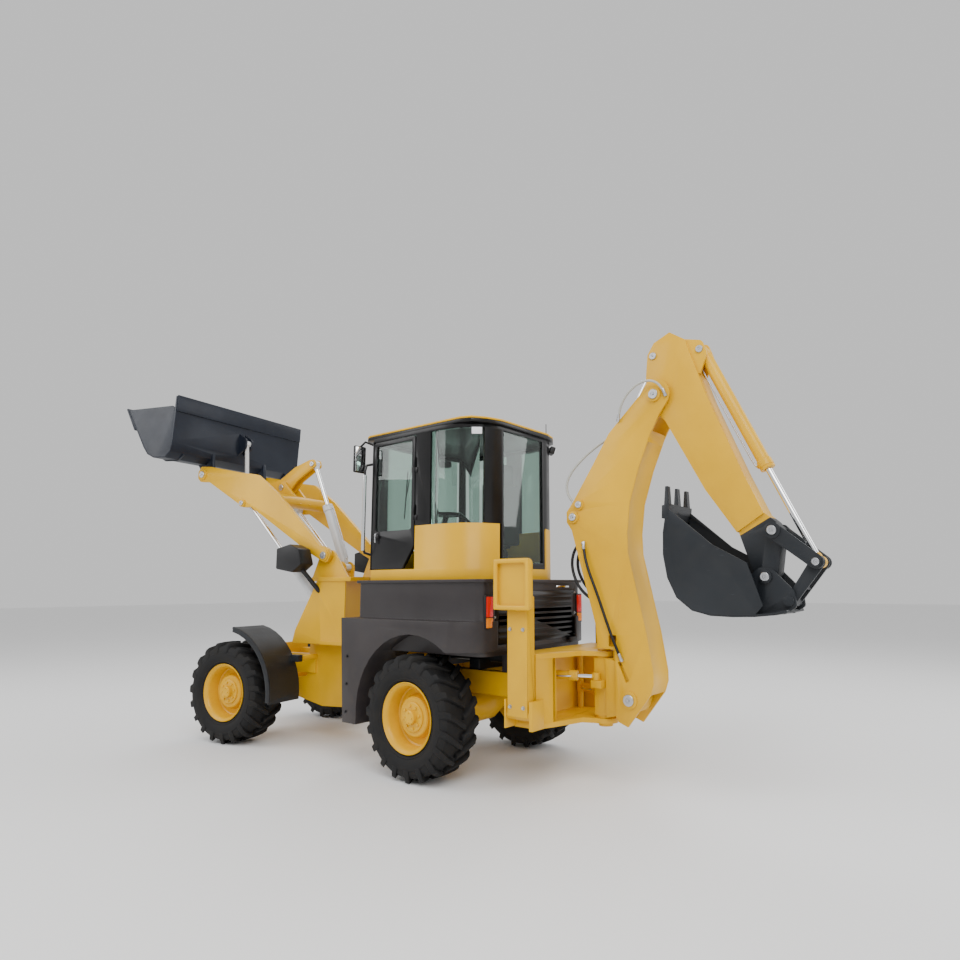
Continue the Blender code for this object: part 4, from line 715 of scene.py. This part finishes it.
# --- trim of the cab and cover ------------------------------------------------------------------------
def pulled(points, faces, low_y, high_y, place, width, steps=2):
    """Flat faces on points of (x, z), pulled from one y to another, rounded, then put in place."""
    mesh = bpy.data.meshes.new("flat")
    mesh.from_pydata([(x, low_y, z) for x, z in points], [], faces)
    made = bpy.data.objects.new("flat", mesh)
    bpy.context.scene.collection.objects.link(made)
    move = {"value": (0, high_y - low_y, 0)}
    edited(made, lambda: bpy.ops.mesh.extrude_region_move(TRANSFORM_OT_translate=move),
           lambda: bpy.ops.mesh.select_all(action="SELECT"), outward)
    softened(made, width, steps)
    return settled(made, place)


def plate(outline, low_y, high_y, place, width=0.004):
    """A flat part with a plain outline."""
    return pulled(outline, [tuple(range(len(outline)))], low_y, high_y, place, width)


def mitred_frame(low, high, wall, low_y, high_y, place, width):
    """A rectangular rim with mitred corners, between two corners of (x, z)."""
    (x0, z0), (x1, z1) = low, high
    loop = [(x0, z0), (x1, z0), (x1, z1), (x0, z1)]
    inner = [(x0 + wall, z0 + wall), (x1 - wall, z0 + wall), (x1 - wall, z1 - wall), (x0 + wall, z1 - wall)]
    faces = [(k, (k + 1) % 4, 4 + (k + 1) % 4, 4 + k) for k in range(4)]
    return pulled(loop + inner, faces, low_y, high_y, place, width, 3)


REAR_PLACE = Matrix.Translation(rear(0, 0, 0))
FRONT_PLACE = Matrix.Translation(Vector((PIVOT.x, PIVOT.y, 0))) @ Matrix.Rotation(STEER, 4, "Z") \
    @ Matrix.Translation(rear(0, 0, 0) - Vector((PIVOT.x, PIVOT.y, 0)))


def block(name, low, high, body, material, width=0.004, place=REAR_PLACE):
    return fitted(name, box(low, high, width, 2, place), body, material)


def rail(name, points, radius, body, material, place=REAR_PLACE, bends=0.05):
    """A tube through its points with rounded corners."""
    smooth = [Vector(points[0])]
    for before, corner, after in zip(points, points[1:], points[2:]):
        before, corner, after = Vector(before), Vector(corner), Vector(after)
        first = corner + (before - corner).normalized() * min(bends, (before - corner).length * 0.45)
        last = corner + (after - corner).normalized() * min(bends, (after - corner).length * 0.45)
        smooth += [first * (1 - t) ** 2 + corner * 2 * t * (1 - t) + last * t * t for t in (0, 0.2, 0.4, 0.6,
                                                                                            0.8, 1)]
    smooth.append(Vector(points[-1]))
    curve = bpy.data.curves.new(name, "CURVE")
    curve.dimensions, curve.bevel_depth, curve.bevel_resolution, curve.use_fill_caps = "3D", radius, 4, True
    spline = curve.splines.new("POLY")
    spline.points.add(len(smooth) - 1)
    for point, spot in zip(spline.points, smooth):
        point.co = (*(place @ spot), 1)
    made = bpy.data.objects.new(name, curve)
    bpy.context.scene.collection.objects.link(made)
    active(made)
    bpy.ops.object.convert(target="MESH")
    made = bpy.context.object
    edited(made, outward)
    bpy.ops.object.shade_smooth_by_angle(angle=math.radians(50))
    return fitted(name, made, body, material)


def lamp(name, spot, way, size, body, material=WHITE_LENS, place=REAR_PLACE):
    """A boxed lamp: a dark housing and a ribbed lens, facing one way."""
    wide, deep, tall = size
    facing = (place.to_3x3() @ Vector(way)).to_track_quat("Y", "Z").to_matrix().to_4x4()
    turn = Matrix.Translation(place @ Vector(spot)) @ facing
    fitted(name + "_housing", box((-wide / 2, -deep, -tall / 2), (wide / 2, 0, tall / 2),
                                  min(deep, tall) * 0.18, 3, turn),
           body, PLASTIC)
    fitted(name + "_lens", box((-wide * 0.42, -0.004, -tall * 0.40), (wide * 0.42, 0.006, tall * 0.40),
                               0.004, 2, turn),
           body, material)


for side, hand in ((1, "left"), (-1, "right")):
    shape = [(2.336, 2.056), (2.150, 2.097), (2.024, 2.046), (1.972, 1.880), (2.096, 1.793), (2.336, 1.834)]
    ys = sorted((side * 0.533, side * 0.727))
    fitted(f"{hand}_head_lamp_housing", plate(shape, *ys, FRONT_PLACE, 0.014), "front", PLASTIC)
    ys = sorted((side * 0.552, side * 0.708))
    block(f"{hand}_head_lamp_bezel", (2.330, ys[0], 1.852), (2.342, ys[1], 2.038), "front", STEEL,
          0.004,
          FRONT_PLACE)
    ys = sorted((side * 0.562, side * 0.698))
    block(f"{hand}_head_lamp_lens", (2.334, ys[0], 1.862), (2.350, ys[1], 2.028), "front", WHITE_LENS,
          0.005, FRONT_PLACE)
    rail(f"{hand}_head_lamp_stalk", [(1.90, side * 0.30, 1.50), (1.96, side * 0.46, 1.60),
                                     (2.08, side * 0.60, 1.83)],
         0.025, "front", PLASTIC, FRONT_PLACE, 0.02)
    ys = sorted((side * 0.60, side * 0.66))
    block(f"{hand}_turn_lens", (2.346, ys[0], 1.838), (2.356, ys[1], 1.858), "front", AMBER_LENS,
          0.003, FRONT_PLACE)
    rail(f"{hand}_grab_rail", [(0.86, side * 0.755, 1.99), (0.86, side * 0.755, 2.74)], 0.019, "rear",
         CHROME)
    ys = sorted((side * 0.733, side * 0.857))
    block(f"{hand}_mirror_face", (0.8815, ys[0], 2.772), (0.8862, ys[1], 3.018), "rear", MIRROR,
          0.002)
    lamp(f"{hand}_rear_work_lamp", (-0.485, side * 0.605, 3.022), (-0.62, side * 0.72, -0.30),
         (0.11, 0.055, 0.075), "rear")
    lamp(f"{hand}_front_work_lamp", (0.985, side * 0.46, 3.022), (1, 0, -0.25), (0.13, 0.06, 0.08), "rear")
    ys = sorted((side * 0.640, side * 0.742))
    block(f"{hand}_tail_bezel", (-0.712, ys[0], 1.285), (-0.695, ys[1], 1.565), "rear", PLASTIC,
          0.006)
    ys = sorted((side * 0.650, side * 0.732))
    block(f"{hand}_tail_lens", (-0.719, ys[0], 1.385), (-0.705, ys[1], 1.553), "rear", RED_LENS,
          0.005)
    block(f"{hand}_tail_amber", (-0.719, ys[0], 1.297), (-0.705, ys[1], 1.377), "rear", AMBER_LENS,
          0.005)
    ys = sorted((side * 0.30, side * 0.52))
    block(f"{hand}_cover_strip", (-0.707, ys[0], 1.628), (-0.698, ys[1], 1.644), "rear", CHROME,
          0.003)

block("door_handle_plate", (0.690, 0.698, 2.050), (0.745, 0.708, 2.170), "left_door", PLASTIC,
      0.003)
rail("door_handle", [(0.718, 0.704, 2.150), (0.718, 0.726, 2.150), (0.718, 0.726, 2.066),
                     (0.718, 0.704, 2.066)], 0.007,
     "left_door", STEEL, REAR_PLACE, 0.012)
rail("roof_aerial", [(-0.46, -0.50, 3.150), (-0.46, -0.50, 3.300)], 0.004, "rear", PLASTIC)
block("aerial_foot", (-0.485, -0.525, 3.158), (-0.435, -0.475, 3.172), "rear", PLASTIC, 0.005)
rail("wiper_arm", [(0.962, 0.02, 2.96), (0.972, 0.02, 2.96), (0.972, 0.10, 2.60)], 0.006, "rear", PLASTIC)
rail("wiper_blade", [(0.968, 0.085, 2.88), (0.968, 0.125, 2.36)], 0.007, "rear", PLASTIC)

# Raised rims on the stabiliser pads, and the bolts of their legs.
for side, hand in ((1, "left"), (-1, "right")):
    ys = sorted((side * 0.790, side * 0.818))
    fitted(f"{hand}_pad_rim", mitred_frame((-1.208, 1.452), (-0.852, 1.858), 0.038, *ys, REAR_PLACE, 0.012),
           f"{hand}_pad", YELLOW)
    spots = [rear(x, side * 0.7355, z) for x in (-1.095, -0.965) for z in (0.70, 1.30)]
    fitted(f"{hand}_leg_bolts", hex_bolts(spots, (0, side, 0), 0.012), f"{hand}_leg", STEEL)

# Bolts on the rear grille of the cover and on the fenders.
spots = [rear(-0.7015, y, z) for y in (-0.615, 0.615) for z in (1.17, 1.38, 1.58)]
fitted("grille_bolts", hex_bolts(spots, (-1, 0, 0), 0.009), "rear", STEEL)
for side, hand in ((1, "left"), (-1, "right")):
    spots = [rear(x, side * 0.951, z) for x, z in ((0.80, 0.50), (0.80, 0.75), (0.80, 1.00))]
    fitted(f"{hand}_fender_bolts", hex_bolts(spots, (0, side, 0), 0.010), "rear", PLASTIC)

# --- hoses --------------------------------------------------------------------------------------------
def hose(name, points, radius, body, material=HOSE, place=REAR_PLACE):
    """A hydraulic hose with a plated ferrule and nut at each end."""
    spots = [place @ Vector(point) for point in points]
    pipe(name, spots, radius, body, material)
    ends = []
    for spot, after in ((spots[0], spots[1]), (spots[-1], spots[-2])):
        way = (after - spot).normalized()
        ends.append(turned([(0, -0.012), (radius * 1.5, -0.012), (radius * 1.55, 0.010),
                            (radius * 1.25, 0.013),
                            (radius * 1.25, 0.050), (radius * 1.1, 0.054), (0, 0.054)], 12, aimed(spot, way)))
    fitted(name + "_ends", joined("ends", ends), body, STEEL)


for k, y in enumerate((-0.045, 0.045)):
    hose(f"boom_back_hose_{k + 1}", [(-1.29, y, 2.06), (-1.18, y, 2.02), (-1.10, y, 1.90), (-1.12, y, 1.72),
                                     (-1.24, y * 1.6, 1.56),
                                     (-1.40, y * 1.8, 1.50)], 0.013, "boom")
hose("boom_top_hose", [(-1.62, 0.075, 2.93), (-1.42, 0.085, 2.86), (-1.20, 0.10, 2.70), (-1.08, 0.11, 2.54),
                       (-1.12, 0.10, 2.40), (-1.20, 0.085, 2.34)], 0.011, "boom", PALE_HOSE)
hose("boom_side_hose", [(-1.30, 0.150, 2.00), (-1.32, 0.178, 1.86), (-1.43, 0.180, 1.62),
                        (-1.52, 0.178, 1.36),
                        (-1.60, 0.176, 1.16), (-1.64, 0.150, 1.05)], 0.012, "boom")
hose("boom_tip_hose", [(-1.66, 0.150, 3.02), (-1.70, 0.190, 3.14), (-1.80, 0.200, 3.25), (-1.94, 0.200, 3.31),
                       (-2.06, 0.185, 3.27), (-2.09, 0.150, 3.16)], 0.010, "boom", PALE_HOSE)
for side, hand in ((1, "left"), (-1, "right")):
    hose(f"{hand}_lift_hose", [(1.70, side * 0.345, 1.42), (1.62, side * 0.30, 1.52),
                               (1.60, side * 0.24, 1.62),
                               (1.66, side * 0.18, 1.66)], 0.012, "front", HOSE, FRONT_PLACE)

# --- loader bucket ------------------------------------------------------------------------------------
edge_spot = Vector((4.60, 0, 3.683)) + Vector((0.014, 0, -0.010)) * 1.4
spots = [FRONT_PLACE @ (edge_spot + Vector((0, y, 0)))
         for y in (-0.85, -0.60, -0.35, -0.10, 0.15, 0.40, 0.65, 0.88)]
down = FRONT_PLACE.to_3x3() @ Vector((0.50, 0, -0.34)).normalized()
fitted("cutting_edge_bolts", hex_bolts(spots, down, 0.014), "loader_bucket", STEEL)
ribs = [plate([(4.30, 3.235), (4.18, 3.172), (3.96, 3.158), (3.86, 3.215), (3.872, 3.250), (3.96, 3.18),
               (4.16, 3.20)],
              y - 0.012, y + 0.012, FRONT_PLACE, 0.003) for y in (-0.80, 0.80)]
fitted("bucket_wear_ribs", joined("ribs", ribs), "loader_bucket", BUCKET)


# --- floor, light and camera --------------------------------------------------------------------------
def studio():
    """A pale floor, a white surround, soft lamps and the camera."""
    bpy.ops.mesh.primitive_plane_add(size=120, location=(0, 0, 0))
    floor = bpy.context.object
    floor.name = "floor"
    pale = Finish("pale_floor", (0.86, 0.86, 0.86), 0.6)
    floor.data.materials.append(pale.material)
    world = bpy.data.worlds.new("white_room")
    world.use_nodes = True
    world.node_tree.nodes["Background"].inputs["Color"].default_value = (1, 1, 1, 1)
    world.node_tree.nodes["Background"].inputs["Strength"].default_value = 0.75
    bpy.context.scene.world = world
    for spot, size, power in (((-7, 6, 9), 7, 900), ((6, 8, 8), 8, 620), ((-9, -6, 6), 6, 360),
                              ((3, -7, 10), 7, 420)):
        bpy.ops.object.light_add(type="AREA", location=spot)
        lamp = bpy.context.object
        lamp.data.size, lamp.data.energy = size, power
        lamp.rotation_euler = (Vector((0.5, 0, 1.4)) - Vector(spot)).to_track_quat("-Z", "Y").to_euler()
    yaw, pitch = math.radians(-52.6), math.radians(7.29)
    ahead = Vector((math.cos(pitch) * math.cos(yaw), math.cos(pitch) * math.sin(yaw), math.sin(pitch)))
    right = ahead.cross(Vector((0, 0, 1))).normalized()
    up = right.cross(ahead)
    turn = Matrix((right, up, -ahead)).transposed() @ Matrix.Rotation(math.radians(-0.19), 3, "Z")
    bpy.ops.object.camera_add(location=rear(-4.25, 4.87, 1.64), rotation=turn.to_euler())
    camera = bpy.context.object
    camera.data.sensor_width, camera.data.lens = 36, 24.375
    camera.data.shift_x, camera.data.shift_y = -0.04375, 0.02396
    camera.data.clip_end = 300
    bpy.context.scene.camera = camera


studio()
